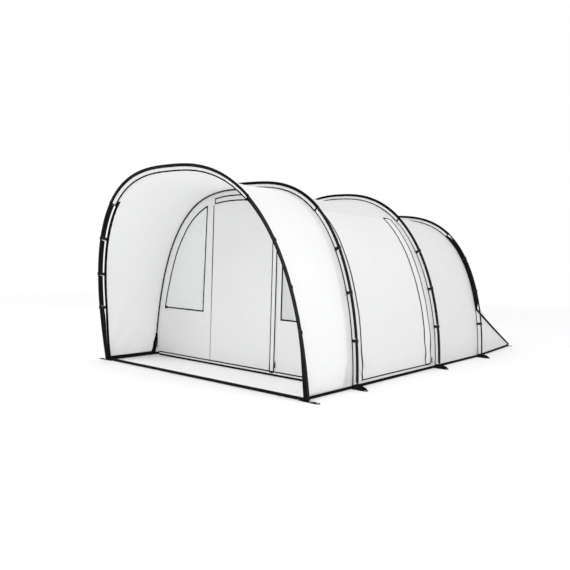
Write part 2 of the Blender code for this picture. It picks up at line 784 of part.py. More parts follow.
tangent = Vector((-start_dir.z, 0.0, start_dir.x))
if tangent.z < 0:
    tangent = -tangent
origin = arc_centre + start_dir * (ARC_R + SLIDER_LIFT)
m_side = frame_matrix(origin, start_dir, Vector((0, 1, 0)), tangent)
side_slider = slider_parts("side_zip_slider", m_side)
side_puller = puller("side_zip_puller", pull_matrix(m_side))
SIDE_PULL_PIVOT = pull_matrix(m_side).translation

# ---------------------------------------------------------------- panelled front
ARCH_DROP = CLOTH + 0.0035


def arch_point(u, extra=0.0):
    """(x, z) of the inside of the porch sheet at the front panel's plane."""
    fs = [lerp(-0.006, bay_ends(1)[1], t) for t in (0, .25, .5, .75, 1)]
    pts = [fly_at(1, f, u)[0] for f in fs]
    for a, b in zip(pts, pts[1:]):
        if a.y <= PANEL_Y <= b.y:
            p = a.lerp(b, (PANEL_Y - a.y) / (b.y - a.y))
            n = fly_at(1, 0.5, u)[1]
            flat = Vector((n.x, 0.0, n.z)).normalized()
            p = p - flat * (ARCH_DROP + extra)
            return p.x, p.z
    raise ValueError("panel plane is outside the porch bay")


def arch_line(extra=0.0, us=US):
    return [arch_point(u, extra) for u in us]


def arch_height(x, extra=0.0, line=None):
    line = line or arch_line(extra, [i / 120 for i in range(121)])
    for (x0, z0), (x1, z1) in zip(line, line[1:]):
        if x1 <= x <= x0:
            return lerp(z0, z1, (x - x0) / ((x1 - x0) or 1.0))
    raise ValueError(x)


FINE_ARCH = arch_line(0.0, [i / 120 for i in range(121)])
N_HEAD = 6


def head_line(x_from, x_to, drop):
    return [(x, arch_height(x, line=FINE_ARCH) - drop)
            for x in (lerp(x_from, x_to, i / N_HEAD) for i in range(N_HEAD + 1))]


base_z = SILL_TOP + 0.0015
arch = [p for p in arch_line() if p[1] > base_z + 0.01]
right_foot = (arch_point(0.004)[0], base_z)
left_foot = (-right_foot[0], base_z)
panel_edge = [right_foot] + arch + [left_foot] + \
    [(DOOR_L, base_z)] + head_line(DOOR_L, DOOR_R, DOOR_DROP) + [(DOOR_R, base_z)]


def window_outline(sign, grow=0.0):
    """Straight inner edge and sill, and an outer edge that follows the arch."""
    x_in = WINDOW_X - grow
    z_low = WINDOW_Z - grow
    curve = []
    for i in range(121):
        x, z = arch_point(i / 240, WINDOW_INSET - grow)
        if z > z_low and x > x_in:
            curve.append((x, z))
    keep = [curve[round(i * (len(curve) - 1) / 7)] for i in range(8)]
    pts = [(x_in, z_low), (curve[0][0] + 0.002, z_low)] + keep + [(x_in, curve[-1][1] + 0.006)]
    return [(x * sign, z) for x, z in pts]


panel = flat_outline("front_panel", [panel_edge, window_outline(1), window_outline(-1)],
                     CLOTH, upright(PANEL_Y))
own(panel, WHITE)
FILM = 0.0008
for side, sign in (("right", 1), ("left", -1)):
    film = flat_outline("window_film_%s" % side, [window_outline(sign, 0.012)], FILM,
                        upright(PANEL_Y + CLOTH / 2 + 0.0004 + FILM / 2))
    own(film, (0.75, 0.80, 0.82), 0.1, 0.0, 0.35)

sill = box("front_sill", (2.390, 0.004, SILL_TOP - 0.0006), (0.0, PANEL_Y, (SILL_TOP + 0.0006) / 2))
own(sill, BLACK, 0.8)

gap = 0.0015
leaf_edge = [(DOOR_L + gap, base_z + 0.001)]
head = head_line(DOOR_L + gap, DOOR_R - gap, DOOR_DROP + gap)
front_leaf = flat_outline("front_door_leaf", [leaf_edge + head + [(DOOR_R - gap, base_z + 0.001)]],
                          CLOTH, upright(PANEL_Y))
own(front_leaf, WHITE)
flap_x0, flap_x1 = 0.379, DOOR_R - 0.0025
z_head = arch_height(0.41, line=FINE_ARCH) - DOOR_DROP - 0.012
front_flap = flat_outline("front_storm_flap",
                          [[(flap_x0, 0.086), (flap_x1, 0.086), (flap_x1, z_head - 0.004), (flap_x0, z_head)]],
                          0.0012, upright(PANEL_Y - CLOTH / 2 - 0.0004 - 0.0006))
own(front_flap, WHITE)

lower = head_line(-0.355, 0.355, DOOR_DROP - 0.001)
upper = head_line(0.355, -0.355, DOOR_DROP - 0.050)
top_band = flat_outline("door_head_band", [lower + upper], 0.0012,
                        upright(PANEL_Y - CLOTH / 2 - 0.0004 - 0.0006))
own(top_band, WHITE)

front_pivot = bpy.data.objects.new("front_door_hinge_axis", None)
front_pivot.location = (DOOR_L + gap, PANEL_Y, 0.0)
link(front_pivot)
for ob in (front_leaf, front_flap):
    world = ob.matrix_world.copy()
    ob.parent = front_pivot
    ob.matrix_parent_inverse = Matrix.Translation(front_pivot.location).inverted()

FZ_X, FZ_Z = DOOR_R + 0.0125, 0.130
m_front = frame_matrix(Vector((FZ_X, PANEL_Y - CLOTH / 2 - 0.0006, FZ_Z)),
                       Vector((0, -1, 0)), Vector((1, 0, 0)), Vector((0, 0, 1)))
front_slider = slider_parts("front_zip_slider", m_front)
front_puller = puller("front_zip_puller", pull_matrix(m_front))
FRONT_PULL_PIVOT = pull_matrix(m_front).translation

# ---------------------------------------------------------------- ground pieces
sheet_y0, sheet_y1 = PANEL_Y + 0.006, INNER_Y0 - 0.004
groundsheet = box("living_groundsheet", (2.36, sheet_y1 - sheet_y0, 0.0016),
                  (0.0, (sheet_y0 + sheet_y1) / 2, 0.0008))
own(groundsheet, GREY, 0.6)

# webbing stretched on its edge between the two front feet
strap = box("front_strap", (2 * (TAB_IN - 0.001), 0.0030, 0.0240), (0.0, Y_FRONT, 0.0120))
own(strap, BLACK, 0.8)


def rear_tab(name, x, angle):
    """Peg tab on the rear hem: a short webbing tongue with an eye."""
    w, l = 0.025, 0.078
    pts = [(-w / 2, 0.0), (w / 2, 0.0)]
    pts += [(w / 2 * math.cos(math.radians(a)), l - w / 2 + w / 2 * math.sin(math.radians(a)))
            for a in (0, 30, 60, 90, 120, 150, 180)]
    eye = [(0.0062 * math.cos(math.radians(45 * i)), l - w / 2 + 0.0062 * math.sin(math.radians(45 * i)))
           for i in range(8)]
    m = Matrix.Translation((x, Y_REAR - 0.024, 0.0011)) @ Matrix.Rotation(math.radians(angle), 4, "Z")
    return own(flat_outline(name, [pts, eye], 0.0022, m), BLACK, 0.8)


rear_tab("rear_tab_right", REAR_X - 0.006, -38)
rear_tab("rear_tab_centre", 0.0, 0)
rear_tab("rear_tab_left", -REAR_X + 0.006, 38)

# ---------------------------------------------------------------- bedroom
TUB_X, TUB_Y1 = 1.060, Y_FRONT + 4.300
TUB_XR = 0.985


def tub():
    """Groundsheet tray: floor and a low turned-up wall, narrowing to the rear."""
    bm = bmesh.new()
    y0, y1 = INNER_Y0 + 0.004, TUB_Y1
    corners = [(TUB_X, y0), (TUB_X, Y_FRONT + 3.30), (TUB_XR, y1), (-TUB_XR, y1),
               (-TUB_X, Y_FRONT + 3.30), (-TUB_X, y0)]
    low = [bm.verts.new((x, y, 0.0)) for x, y in corners]
    high = [bm.verts.new((x, y, TUB_H)) for x, y in corners]
    bm.faces.new(list(reversed(low)))
    for i in range(6):
        j = (i + 1) % 6
        bm.faces.new((low[i], low[j], high[j], high[i]))
    ob = mesh_object("bedroom_floor_tub", bm)
    solidify(ob, 0.0018, offset=-1.0)
    return own(ob, GREY, 0.6)


tub()


def inner_section(y, n=17, z_base=TUB_H + 0.001):
    """Bedroom arch at a station: the flysheet's line, moved in, standing on the tub's rim."""
    inset = FLY_INSET + INNER_GAP
    pts = []
    for i in range(n):
        u = i / (n - 1)
        if y <= Y_FRONT + HOOPS[4][0]:
            p = fly_at(3, fly_f_at_y(3, y, u, inset, 0.0), u, inset, z_base)[0]
        else:
            s = (y - (Y_FRONT + HOOPS[4][0])) / (TUB_Y1 + 0.02 - (Y_FRONT + HOOPS[4][0]))
            p = rear_at(s, u, inset, z_base, TUB_Y1 + 0.02, TUB_XR + 0.004, z_base)
            p.y = y
        x_lim = TUB_X if y <= Y_FRONT + 3.30 else lerp(TUB_X, TUB_XR, (y - Y_FRONT - 3.30) / (TUB_Y1 - Y_FRONT - 3.30))
        p.x = max(-x_lim, min(x_lim, p.x))
        pts.append(p)
    return pts


stations = [INNER_Y0 + 0.003, Y_FRONT + 2.80, Y_FRONT + 3.28, Y_FRONT + 3.62, Y_FRONT + 3.96, TUB_Y1 - 0.004]
canopy = grid_surface("bedroom_canopy", [inner_section(y) for y in stations])
solidify(canopy, 0.0018)
own(canopy, (0.80, 0.80, 0.79), 0.8)

# bedroom front wall with a doorway, its leaf, and the leaf's slider
front_sec = [(p.x, p.z) for p in inner_section(INNER_Y0 + 0.003)]
shrunk = [(x * (1 - 0.004), z - 0.004 * (z > 0.3)) for x, z in front_sec]
ix0, ix1 = INNER_DOOR


def inner_arch(x):
    for (x0, z0), (x1, z1) in zip(shrunk, shrunk[1:]):
        if x1 <= x <= x0 and x0 != x1:
            return lerp(z0, z1, (x - x0) / (x1 - x0))
    raise ValueError(x)


wall_base = TUB_H + 0.0015
shrunk[0] = (shrunk[0][0], wall_base)
shrunk[-1] = (shrunk[-1][0], wall_base)
door_head = [(lerp(ix0, ix1, i / 5), 0.0) for i in range(6)]
door_head = [(x, inner_arch(x) - 0.15) for x, _ in door_head]
wall_edge = shrunk + [(ix0, wall_base)] + door_head + [(ix1, wall_base)]
inner_wall = flat_outline("bedroom_front_wall", [wall_edge], 0.0016, upright(INNER_Y0))
own(inner_wall, (0.80, 0.80, 0.79), 0.8)

g = 0.0015
leaf_pts = [(ix0 + g, wall_base + 0.001)] + [(min(max(x, ix0 + g), ix1 - g), z - g) for x, z in door_head] + \
    [(ix1 - g, wall_base + 0.001)]
inner_leaf = flat_outline("bedroom_door_leaf", [leaf_pts], 0.0016, upright(INNER_Y0))
own(inner_leaf, (0.80, 0.80, 0.79), 0.8)
inner_pivot = bpy.data.objects.new("bedroom_door_hinge_axis", None)
inner_pivot.location = (ix0 + g, INNER_Y0, 0.0)
link(inner_pivot)
inner_leaf.parent = inner_pivot
inner_leaf.matrix_parent_inverse = Matrix.Translation(inner_pivot.location).inverted()

IZ_X, IZ_Z = ix1 + 0.0105, 0.190
m_inner = frame_matrix(Vector((IZ_X, INNER_Y0 - 0.0008 - 0.0006, IZ_Z)),
                       Vector((0, -1, 0)), Vector((1, 0, 0)), Vector((0, 0, 1)))
inner_slider = slider_parts("bedroom_zip_slider", m_inner)
inner_puller = puller("bedroom_zip_puller", pull_matrix(m_inner))
INNER_PULL_PIVOT = pull_matrix(m_inner).translation

bpy.context.view_layer.update()
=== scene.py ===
import math

import bmesh
import bpy
from mathutils import Matrix, Vector, geometry, noise


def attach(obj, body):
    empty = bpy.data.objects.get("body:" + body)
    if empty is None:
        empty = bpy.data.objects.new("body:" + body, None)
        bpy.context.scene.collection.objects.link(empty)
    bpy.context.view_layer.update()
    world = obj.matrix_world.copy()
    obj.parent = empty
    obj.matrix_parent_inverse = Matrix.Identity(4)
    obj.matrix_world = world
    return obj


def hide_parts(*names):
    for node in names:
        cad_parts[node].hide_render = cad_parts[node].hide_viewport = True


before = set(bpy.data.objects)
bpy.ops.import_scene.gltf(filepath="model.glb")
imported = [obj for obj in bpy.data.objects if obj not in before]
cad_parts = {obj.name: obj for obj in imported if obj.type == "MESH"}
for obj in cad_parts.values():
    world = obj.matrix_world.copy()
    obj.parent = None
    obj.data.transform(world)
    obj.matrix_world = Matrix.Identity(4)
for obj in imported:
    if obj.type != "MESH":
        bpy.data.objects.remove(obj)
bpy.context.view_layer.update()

SCENE = bpy.context.scene

# ------------------------------------------------------------------ dimensions, as in the CAD
Y_FRONT, Y_REAR = -2.1531, 2.4469
HALF_WIDTH = 1.300
POLE_R = 0.008
HEM = 0.020
INSET = 0.050
HOOPS = {1: (0.000, 1.870, 10.4, 2.65, 2.55), 2: (0.675, 1.800, 0.0, 2.90, 2.05),
         3: (2.215, 1.825, 0.0, 2.45, 1.97), 4: (3.300, 1.650, 0.0, 3.05, 2.04)}
BACK = {1: 0.030, 2: 0.0, 3: 0.0, 4: 0.0}      # the flysheet's edge behind the hoop's plane
SLEEVE_END = {1: 1.56, 2: 1.55, 3: 1.55, 4: 1.43}
CLIP_Z = {1: (0.54, 0.88, 1.23), 2: (0.41, 0.82, 1.20), 3: (0.43, 0.82, 1.21), 4: (0.39, 0.77, 1.145)}
SAG = {1: 0.010, 2: 0.028, 3: 0.020}
CROWN_SAG = {1: 0.026, 2: 0.036, 3: 0.014}     # the cloth hangs a little more between the crowns
PANEL_Y = Y_FRONT + 0.600
DOOR_L, DOOR_R, DOOR_DROP = -0.420, 0.433, 0.112
SILL_TOP = 0.045
WINDOW_X, WINDOW_Z, WINDOW_INSET = 0.500, 0.526, 0.095
SIDE_Y0, SIDE_Y1 = Y_FRONT + 0.820, Y_FRONT + 2.113
SIDE_Z0, SIDE_Z1 = 0.048, 1.540
FLAP_W, HEAD_DROP = 0.110, 0.0062
REAR_X, GUSSET_Z = 1.130, 0.560
INNER_Y0, INNER_GAP = Y_FRONT + 2.330, 0.130
TUB_H, TUB_X, TUB_XR, TUB_Y1 = 0.100, 1.060, 0.985, Y_FRONT + 4.300
INNER_DOOR = (-0.520, 0.300)
SLEEVE_R = POLE_R + 0.0018


def lerp(a, b, t):
    return a + (b - a) * t


def steps(a, b, n):
    return [lerp(a, b, i / n) for i in range(n + 1)]


def clamp(v, a=0.0, b=1.0):
    return max(a, min(b, v))


def smooth(t):
    t = clamp(t)
    return t * t * (3 - 2 * t)


# ------------------------------------------------------------------ curves of the hoops
_DENSE = {}
_HOOP = {}


def dense(k, inset, z0):
    key = (k, round(inset, 6), round(z0, 6))
    if key in _DENSE:
        return _DENSE[key]
    _, height, _, n, m = HOOPS[k]
    rows = []
    for i in range(3001):
        t = math.pi * i / 3000
        c, s = math.cos(t), math.sin(t)
        x = math.copysign(abs(c) ** (2 / n), c) * HALF_WIDTH
        z = height * abs(s) ** (2 / m)
        gx = n * abs(x / HALF_WIDTH) ** (n - 1) * math.copysign(1.0, x) / HALF_WIDTH
        gz = m * abs(z / height) ** (m - 1) / height
        g = math.hypot(gx, gz) or 1.0
        gx, gz = gx / g, gz / g
        px, pz = x - inset * gx, z - inset * gz
        if pz >= z0 - 1e-9:
            rows.append((px, pz, gx, gz))
    lengths = [0.0]
    for a, b in zip(rows, rows[1:]):
        lengths.append(lengths[-1] + math.hypot(b[0] - a[0], b[1] - a[1]))
    _DENSE[key] = (rows, lengths)
    return _DENSE[key]


def arc(k, inset=0.0, z0=0.0):
    return dense(k, inset, z0)[1][-1]


def plane_axis(k):
    lean = math.radians(HOOPS[k][2])
    return Vector((0.0, math.cos(lean), math.sin(lean)))


def hoop(k, inset, u, z0=0.0, back=0.0):
    """Point and outward normal at a fraction of the hoop's length, from right foot to left foot."""
    key = (k, inset, u, z0, back)
    if key in _HOOP:
        p, n = _HOOP[key]
        return p.copy(), n.copy()
    rows, lengths = dense(k, inset, z0)
    s = clamp(u) * lengths[-1]
    lo, hi = 0, len(rows) - 1
    while hi - lo > 1:
        mid = (lo + hi) // 2
        if lengths[mid] <= s:
            lo = mid
        else:
            hi = mid
    t = (s - lengths[lo]) / ((lengths[hi] - lengths[lo]) or 1.0)
    x, z, nx, nz = (lerp(rows[lo][i], rows[hi][i], t) for i in range(4))
    base, _, lean, _, _ = HOOPS[k]
    cl, sl = math.cos(math.radians(lean)), math.sin(math.radians(lean))
    back *= smooth(z / 0.60)
    p = Vector((x, Y_FRONT + base - z * sl + back * cl, z * cl + back * sl))
    _HOOP[key] = (p, Vector((nx, -nz * sl, nz * cl)).normalized())
    return p.copy(), _HOOP[key][1].copy()


def u_at(k, height, inset=0.0, z0=0.0):
    lo, hi = 0.0, 0.5
    for _ in range(40):
        mid = (lo + hi) / 2
        if hoop(k, inset, mid, z0)[0].z < height:
            lo = mid
        else:
            hi = mid
    return (lo + hi) / 2


# ------------------------------------------------------------------ the flysheet's surface
def bay_point(bay, f, u, inset=INSET, z0=HEM):
    pa, na = hoop(bay, inset, u, z0, BACK[bay])
    pb, nb = hoop(bay + 1, inset, u, z0, BACK[bay + 1])
    n = (na * (1 - f) + nb * f).normalized()
    flat = Vector((n.x, 0.0, n.z))
    depth = SAG[bay] * 4 * max(f * (1 - f), 0.0) * math.sin(math.pi * u) ** 0.6 if 0 < u < 1 else 0.0
    depth += CROWN_SAG[bay] * (max(f * (1 - f), 0.0) * 4) * math.exp(-((u - 0.5) / 0.13) ** 2) * (inset < 0.1)
    return pa.lerp(pb, f) - flat * depth, n, (pb - pa).length


def ripple(bay, f, u, length, total):
    """How far the cloth lies inwards of its smooth surface: seam puckers, folds fanned from the
    feet, and long soft waves between the hoops."""
    a, b = f * length, (1 - f) * length
    edge = min(a, b)
    s = u * total
    h = min(s, total - s)
    side = 0.0 if u < 0.5 else 5.3
    d = 0.0017 * math.exp(-edge / 0.10) * (1 + math.sin(s * 2 * math.pi / 0.083 + 4 * noise.noise(Vector((s * 2.3, bay * 4.1, 0.4)))))
    d += 0.0062 * noise.noise(Vector((s * 1.3, 0.45 * a, bay * 7.1)))
    d += 0.0027 * noise.noise(Vector((s * 5.5, a * 1.2, bay * 3.3)))
    for da, ph in ((a, 0.3), (b, 2.1)):
        r, ang = math.hypot(da, h), math.atan2(h, da + 1e-6)
        d += 0.0058 * math.exp(-(r / 0.60) ** 2) * smooth((r - 0.05) / 0.20) * math.cos(11 * ang + ph + side)
    return d * smooth(edge / 0.035) * smooth(h / 0.05)


def fly_at(bay, f, u):
    p, n, length = bay_point(bay, f, u)
    return p - n * ripple(bay, clamp(f), u, length, arc(bay, INSET, HEM))


def fly(bay, f, u, lift=0.0):
    """The rippled flysheet, and its normal there."""
    total = arc(bay, INSET, HEM)

    def at(ff, uu):
        p, n, length = bay_point(bay, ff, uu)
        return p - n * ripple(bay, clamp(ff), uu, length, total)
    e = 0.0015
    p = at(f, u)
    pf = at(f + e, u) - at(f - e, u)
    pu = at(f, min(u + e, 1.0)) - at(f, max(u - e, 0.0))
    n = pf.cross(pu).normalized()
    if n.dot(bay_point(bay, f, u)[1]) < 0:
        n = -n
    return p + n * lift, n


def f_at_y(bay, y, u):
    a, b = hoop(bay, INSET, u, HEM, BACK[bay])[0].y, hoop(bay + 1, INSET, u, HEM, BACK[bay + 1])[0].y
    return (y - a) / (b - a)


def rear_base(s, u, inset=INSET, z0=HEM, end_y=Y_REAR, end_x=REAR_X, end_z=HEM):
    p, _ = hoop(4, inset, u, z0)
    uc = u_at(4, GUSSET_Z, inset, z0) if (inset, z0) != (INSET, HEM) else UC
    w = 0.024
    if u < uc:
        q = Vector((end_x + w * (1 - u / uc) * 0.6, end_y - w * (1 - u / uc), end_z))
    elif u > 1 - uc:
        t = (1 - u) / uc
        q = Vector((-end_x - w * (1 - t) * 0.6, end_y - w * (1 - t), end_z))
    else:
        q = Vector((lerp(end_x, -end_x, (u - uc) / (1 - 2 * uc)), end_y, end_z))
    return p.lerp(q, s)


UC = u_at(4, GUSSET_Z, INSET, HEM)


def rear(s, u, lift=0.0):
    total = arc(4, INSET, HEM)

    def at(ss, uu):
        p = rear_base(ss, uu)
        return p

    def nrm(ss, uu):
        e = 0.004
        a = at(min(ss + e, 1), uu) - at(max(ss - e, 0), uu)
        b = at(ss, min(uu + e, 1)) - at(ss, max(uu - e, 0))
        n = a.cross(b)
        if n.length < 1e-12:
            return Vector((0, 0.6, 0.8))
        n.normalize()
        return n if n.dot(Vector((at(ss, uu).x * 0.6, 1.0, 0.8))) > 0 else -n
    n = nrm(s, u)
    length = (at(1, u) - at(0, u)).length
    x = u * total
    a = s * length
    d = 0.018 * 4 * s * (1 - s) * math.sin(math.pi * u) ** 1.5
    d += 0.0010 * math.exp(-a / 0.10) * (1 + math.sin(x * 2 * math.pi / 0.083))
    d += 0.0075 * noise.noise(Vector((x * 1.6, 0.5 * a, 31.7)))
    d += 0.0030 * noise.noise(Vector((x * 6.0, a * 1.2, 12.9)))
    d *= smooth(a / 0.03) * smooth((length - a) / 0.05) * smooth(min(u, 1 - u) / 0.03)
    return at(s, u) - n * (d - lift), n


# ------------------------------------------------------------------ materials
def tree(name):
    m = bpy.data.materials.new(name)
    m.use_nodes = True
    nt = m.node_tree
    nt.nodes.clear()
    out = nt.nodes.new("ShaderNodeOutputMaterial")
    return m, nt, out


def add(nt, kind, **values):
    n = nt.nodes.new(kind)
    for key, v in values.items():
        setattr(n, key, v)
    return n


def math_node(nt, op, a, b=None, c=None):
    n = nt.nodes.new("ShaderNodeMath")
    n.operation = op
    for i, v in enumerate((a, b, c)):
        if v is None:
            continue
        if isinstance(v, (int, float)):
            n.inputs[i].default_value = v
        else:
            nt.links.new(v, n.inputs[i])
    return n.outputs[0]


def noise_node(nt, vector, scale, detail=3.0, rough=0.55, distortion=0.0):
    n = nt.nodes.new("ShaderNodeTexNoise")
    n.inputs["Scale"].default_value = scale
    n.inputs["Detail"].default_value = detail
    n.inputs["Roughness"].default_value = rough
    n.inputs["Distortion"].default_value = distortion
    nt.links.new(vector, n.inputs["Vector"])
    return n.outputs["Fac"]


def ramp(nt, fac, stops):
    n = nt.nodes.new("ShaderNodeValToRGB")
    e = n.color_ramp.elements
    while len(e) < len(stops):
        e.new(0.5)
    for el, (pos, col) in zip(e, stops):
        el.position = pos
        el.color = (*col, 1.0)
    nt.links.new(fac, n.inputs["Fac"])
    return n.outputs["Color"]


def bump(nt, height, strength, distance, previous=None):
    n = nt.nodes.new("ShaderNodeBump")
    n.inputs["Strength"].default_value = strength
    n.inputs["Distance"].default_value = distance
    nt.links.new(height, n.inputs["Height"])
    if previous is not None:
        nt.links.new(previous, n.inputs["Normal"])
    return n.outputs["Normal"]


def weave(nt, pitch, stretch=1.0):
    """Height of a plain weave on the UV map, which is in metres."""
    uv = nt.nodes.new("ShaderNodeUVMap")
    uv.uv_map = "UV"
    sep = nt.nodes.new("ShaderNodeSeparateXYZ")
    nt.links.new(uv.outputs["UV"], sep.inputs[0])
    k = 2 * math.pi / pitch
    a = math_node(nt, "SINE", math_node(nt, "MULTIPLY", sep.outputs["X"], k))
    b = math_node(nt, "SINE", math_node(nt, "MULTIPLY", sep.outputs["Y"], k / stretch))
    return math_node(nt, "MULTIPLY_ADD", math_node(nt, "MULTIPLY", a, b), 0.5, 0.5), sep


def cloth(name, color, rough, pitch=0.0016, weave_bump=0.25, crease=0.35, through=0.0, sheen=0.0,
          specular=0.35, vary=0.03, dusty=0.0, rib=None, rows=(), thread=(0.45, 0.45, 0.46), axis="Y"):
    m, nt, out = tree(name)
    geo = add(nt, "ShaderNodeNewGeometry")
    tc = add(nt, "ShaderNodeTexCoord")
    pos = tc.outputs["Object"]
    big = noise_node(nt, pos, 1.7, 4.0)
    fine = noise_node(nt, pos, 55.0, 3.0)
    c0 = tuple(v * (1 - vary) for v in color)
    base = ramp(nt, big, [(0.30, c0), (0.70, color)])
    mix = add(nt, "ShaderNodeMix", data_type="RGBA", blend_type="MULTIPLY")
    mix.inputs[0].default_value = 1.0
    grain = ramp(nt, fine, [(0.3, (0.965, 0.965, 0.965)), (0.7, (1.0, 1.0, 1.0))])
    nt.links.new(base, mix.inputs["A"])
    nt.links.new(grain, mix.inputs["B"])
    col = mix.outputs["Result"]
    if dusty:
        sep = add(nt, "ShaderNodeSeparateXYZ")
        nt.links.new(pos, sep.inputs[0])
        low = math_node(nt, "SUBTRACT", 0.17, sep.outputs["Z"])
        low = math_node(nt, "MULTIPLY", low, 5.5)
        patch = noise_node(nt, pos, 14.0, 5.0)
        low = math_node(nt, "MULTIPLY", low, patch)
        low.node.use_clamp = True
        dirt = add(nt, "ShaderNodeMix", data_type="RGBA")
        nt.links.new(math_node(nt, "MULTIPLY", low, dusty), dirt.inputs[0])
        nt.links.new(col, dirt.inputs["A"])
        dirt.inputs["B"].default_value = (0.56, 0.53, 0.48, 1.0)
        col = dirt.outputs["Result"]
    height, sep = weave(nt, pitch)
    if rib:
        bands = math_node(nt, "SINE", math_node(nt, "MULTIPLY", sep.outputs["Y"], 2 * math.pi / rib))
        height = math_node(nt, "MULTIPLY_ADD", bands, 0.5, height)
    if rows:
        along, over = (sep.outputs["X"], sep.outputs["Y"]) if axis == "Y" else (sep.outputs["Y"], sep.outputs["X"])
        dash = math_node(nt, "LESS_THAN", math_node(nt, "FRACT", math_node(nt, "MULTIPLY", along, 1 / 0.0042)), 0.64)
        mask = None
        for r in rows:
            hit = math_node(nt, "LESS_THAN", math_node(nt, "ABSOLUTE", math_node(nt, "SUBTRACT", over, r)), 0.00042)
            mask = hit if mask is None else math_node(nt, "MAXIMUM", mask, hit)
        mask = math_node(nt, "MULTIPLY", mask, dash)
        sew = add(nt, "ShaderNodeMix", data_type="RGBA")
        nt.links.new(mask, sew.inputs[0])
        nt.links.new(col, sew.inputs["A"])
        sew.inputs["B"].default_value = (*thread, 1.0)
        col = sew.outputs["Result"]
        height = math_node(nt, "MULTIPLY_ADD", mask, 1.6, height)
    crinkle = noise_node(nt, pos, 9.0, 5.0, 0.6, 0.4)
    n1 = bump(nt, crinkle, crease, 0.006)
    n2 = bump(nt, height, weave_bump, 0.0004, n1)
    p = add(nt, "ShaderNodeBsdfPrincipled")
    nt.links.new(col, p.inputs["Base Color"])
    wear = noise_node(nt, pos, 6.0, 4.0)
    nt.links.new(math_node(nt, "MULTIPLY_ADD", wear, 0.16, rough - 0.08), p.inputs["Roughness"])
    p.inputs["Specular IOR Level"].default_value = specular
    if sheen:
        p.inputs["Sheen Weight"].default_value = sheen
        p.inputs["Sheen Roughness"].default_value = 0.4
    nt.links.new(n2, p.inputs["Normal"])
    if through:
        t = add(nt, "ShaderNodeBsdfTranslucent")
        nt.links.new(col, t.inputs["Color"])
        nt.links.new(n1, t.inputs["Normal"])
        ms = add(nt, "ShaderNodeMixShader")
        ms.inputs[0].default_value = through
        nt.links.new(p.outputs[0], ms.inputs[1])
        nt.links.new(t.outputs[0], ms.inputs[2])
        nt.links.new(ms.outputs[0], out.inputs[0])
    else:
        nt.links.new(p.outputs[0], out.inputs[0])
    return m


def hard(name, color, rough, metallic=0.0, coat=0.0, scale=120.0, depth=0.0002, strength=0.25,
         streak=None, spread=0.12, specular=0.5):
    m, nt, out = tree(name)
    tc = add(nt, "ShaderNodeTexCoord")
    pos = tc.outputs["Object"]
    if streak:
        mp = add(nt, "ShaderNodeMapping")
        mp.inputs["Scale"].default_value = streak
        nt.links.new(pos, mp.inputs["Vector"])
        pos = mp.outputs["Vector"]
    grain = noise_node(nt, pos, scale, 4.0)
    big = noise_node(nt, tc.outputs["Object"], 8.0, 3.0)
    c = ramp(nt, big, [(0.3, tuple(v * 0.86 for v in color)), (0.7, color)])
    p = add(nt, "ShaderNodeBsdfPrincipled")
    nt.links.new(c, p.inputs["Base Color"])
    nt.links.new(math_node(nt, "MULTIPLY_ADD", grain, spread * 2, rough - spread), p.inputs["Roughness"])
    p.inputs["Metallic"].default_value = metallic
    p.inputs["Specular IOR Level"].default_value = specular
    if coat:
        p.inputs["Coat Weight"].default_value = coat
        p.inputs["Coat Roughness"].default_value = 0.18
    nt.links.new(bump(nt, grain, strength, depth), p.inputs["Normal"])
    nt.links.new(p.outputs[0], out.inputs[0])
    return m


def film(name):
    m, nt, out = tree(name)
    tc = add(nt, "ShaderNodeTexCoord")
    wav = noise_node(nt, tc.outputs["Object"], 5.0, 2.0, 0.5, 0.6)
    haze = noise_node(nt, tc.outputs["Object"], 22.0, 4.0)
    p = add(nt, "ShaderNodeBsdfPrincipled")
    nt.links.new(ramp(nt, haze, [(0.3, (0.86, 0.88, 0.89)), (0.7, (0.93, 0.945, 0.95))]), p.inputs["Base Color"])
    nt.links.new(math_node(nt, "MULTIPLY_ADD", haze, 0.10, 0.09), p.inputs["Roughness"])
    p.inputs["Alpha"].default_value = 0.55
    p.inputs["Coat Weight"].default_value = 0.5
    p.inputs["Coat Roughness"].default_value = 0.05
    nt.links.new(bump(nt, wav, 0.35, 0.012), p.inputs["Normal"])
    nt.links.new(p.outputs[0], out.inputs[0])
    return m


FLY = cloth("fly_polyester", (0.855, 0.858, 0.860), 0.60, through=0.30, sheen=0.12, crease=0.30, dusty=0.5,
            rows=(0.014, 0.020), axis="X")
LEAF = cloth("door_polyester", (0.865, 0.868, 0.870), 0.60, through=0.26, sheen=0.12, crease=0.38, dusty=0.4)
SLEEVE = cloth("sleeve_polyester", (0.875, 0.877, 0.879), 0.60, through=0.20, sheen=0.10, crease=0.40,
               rows=(0.0290, 0.1060))
INNER = cloth("inner_polyester", (0.80, 0.80, 0.785), 0.80, pitch=0.0012, through=0.35, crease=0.45, specular=0.15)
TRIM = cloth("black_binding", (0.0075, 0.0075, 0.008), 0.78, pitch=0.0014, weave_bump=0.5, crease=0.15,
             specular=0.03, vary=0.25, rows=(0.0040,), thread=(0.045, 0.045, 0.048))
POCKET = cloth("black_pocket", (0.0075, 0.0075, 0.008), 0.86, pitch=0.0014, weave_bump=0.45, crease=0.30,
               specular=0.02, vary=0.25)
WEB = cloth("black_webbing", (0.0085, 0.0085, 0.009), 0.82, pitch=0.0022, weave_bump=0.8, crease=0.10,
            specular=0.08, vary=0.30, rib=0.0034)
FLOOR_CLOTH = cloth("groundsheet_weave", (0.30, 0.31, 0.32), 0.50, pitch=0.0040, weave_bump=0.6, crease=0.5,
                    specular=0.35, vary=0.08)
GREY_LINE = cloth("grey_stitching", (0.11, 0.11, 0.115), 0.75, pitch=0.0020, weave_bump=0.5, crease=0.1,
                  specular=0.2, vary=0.15)
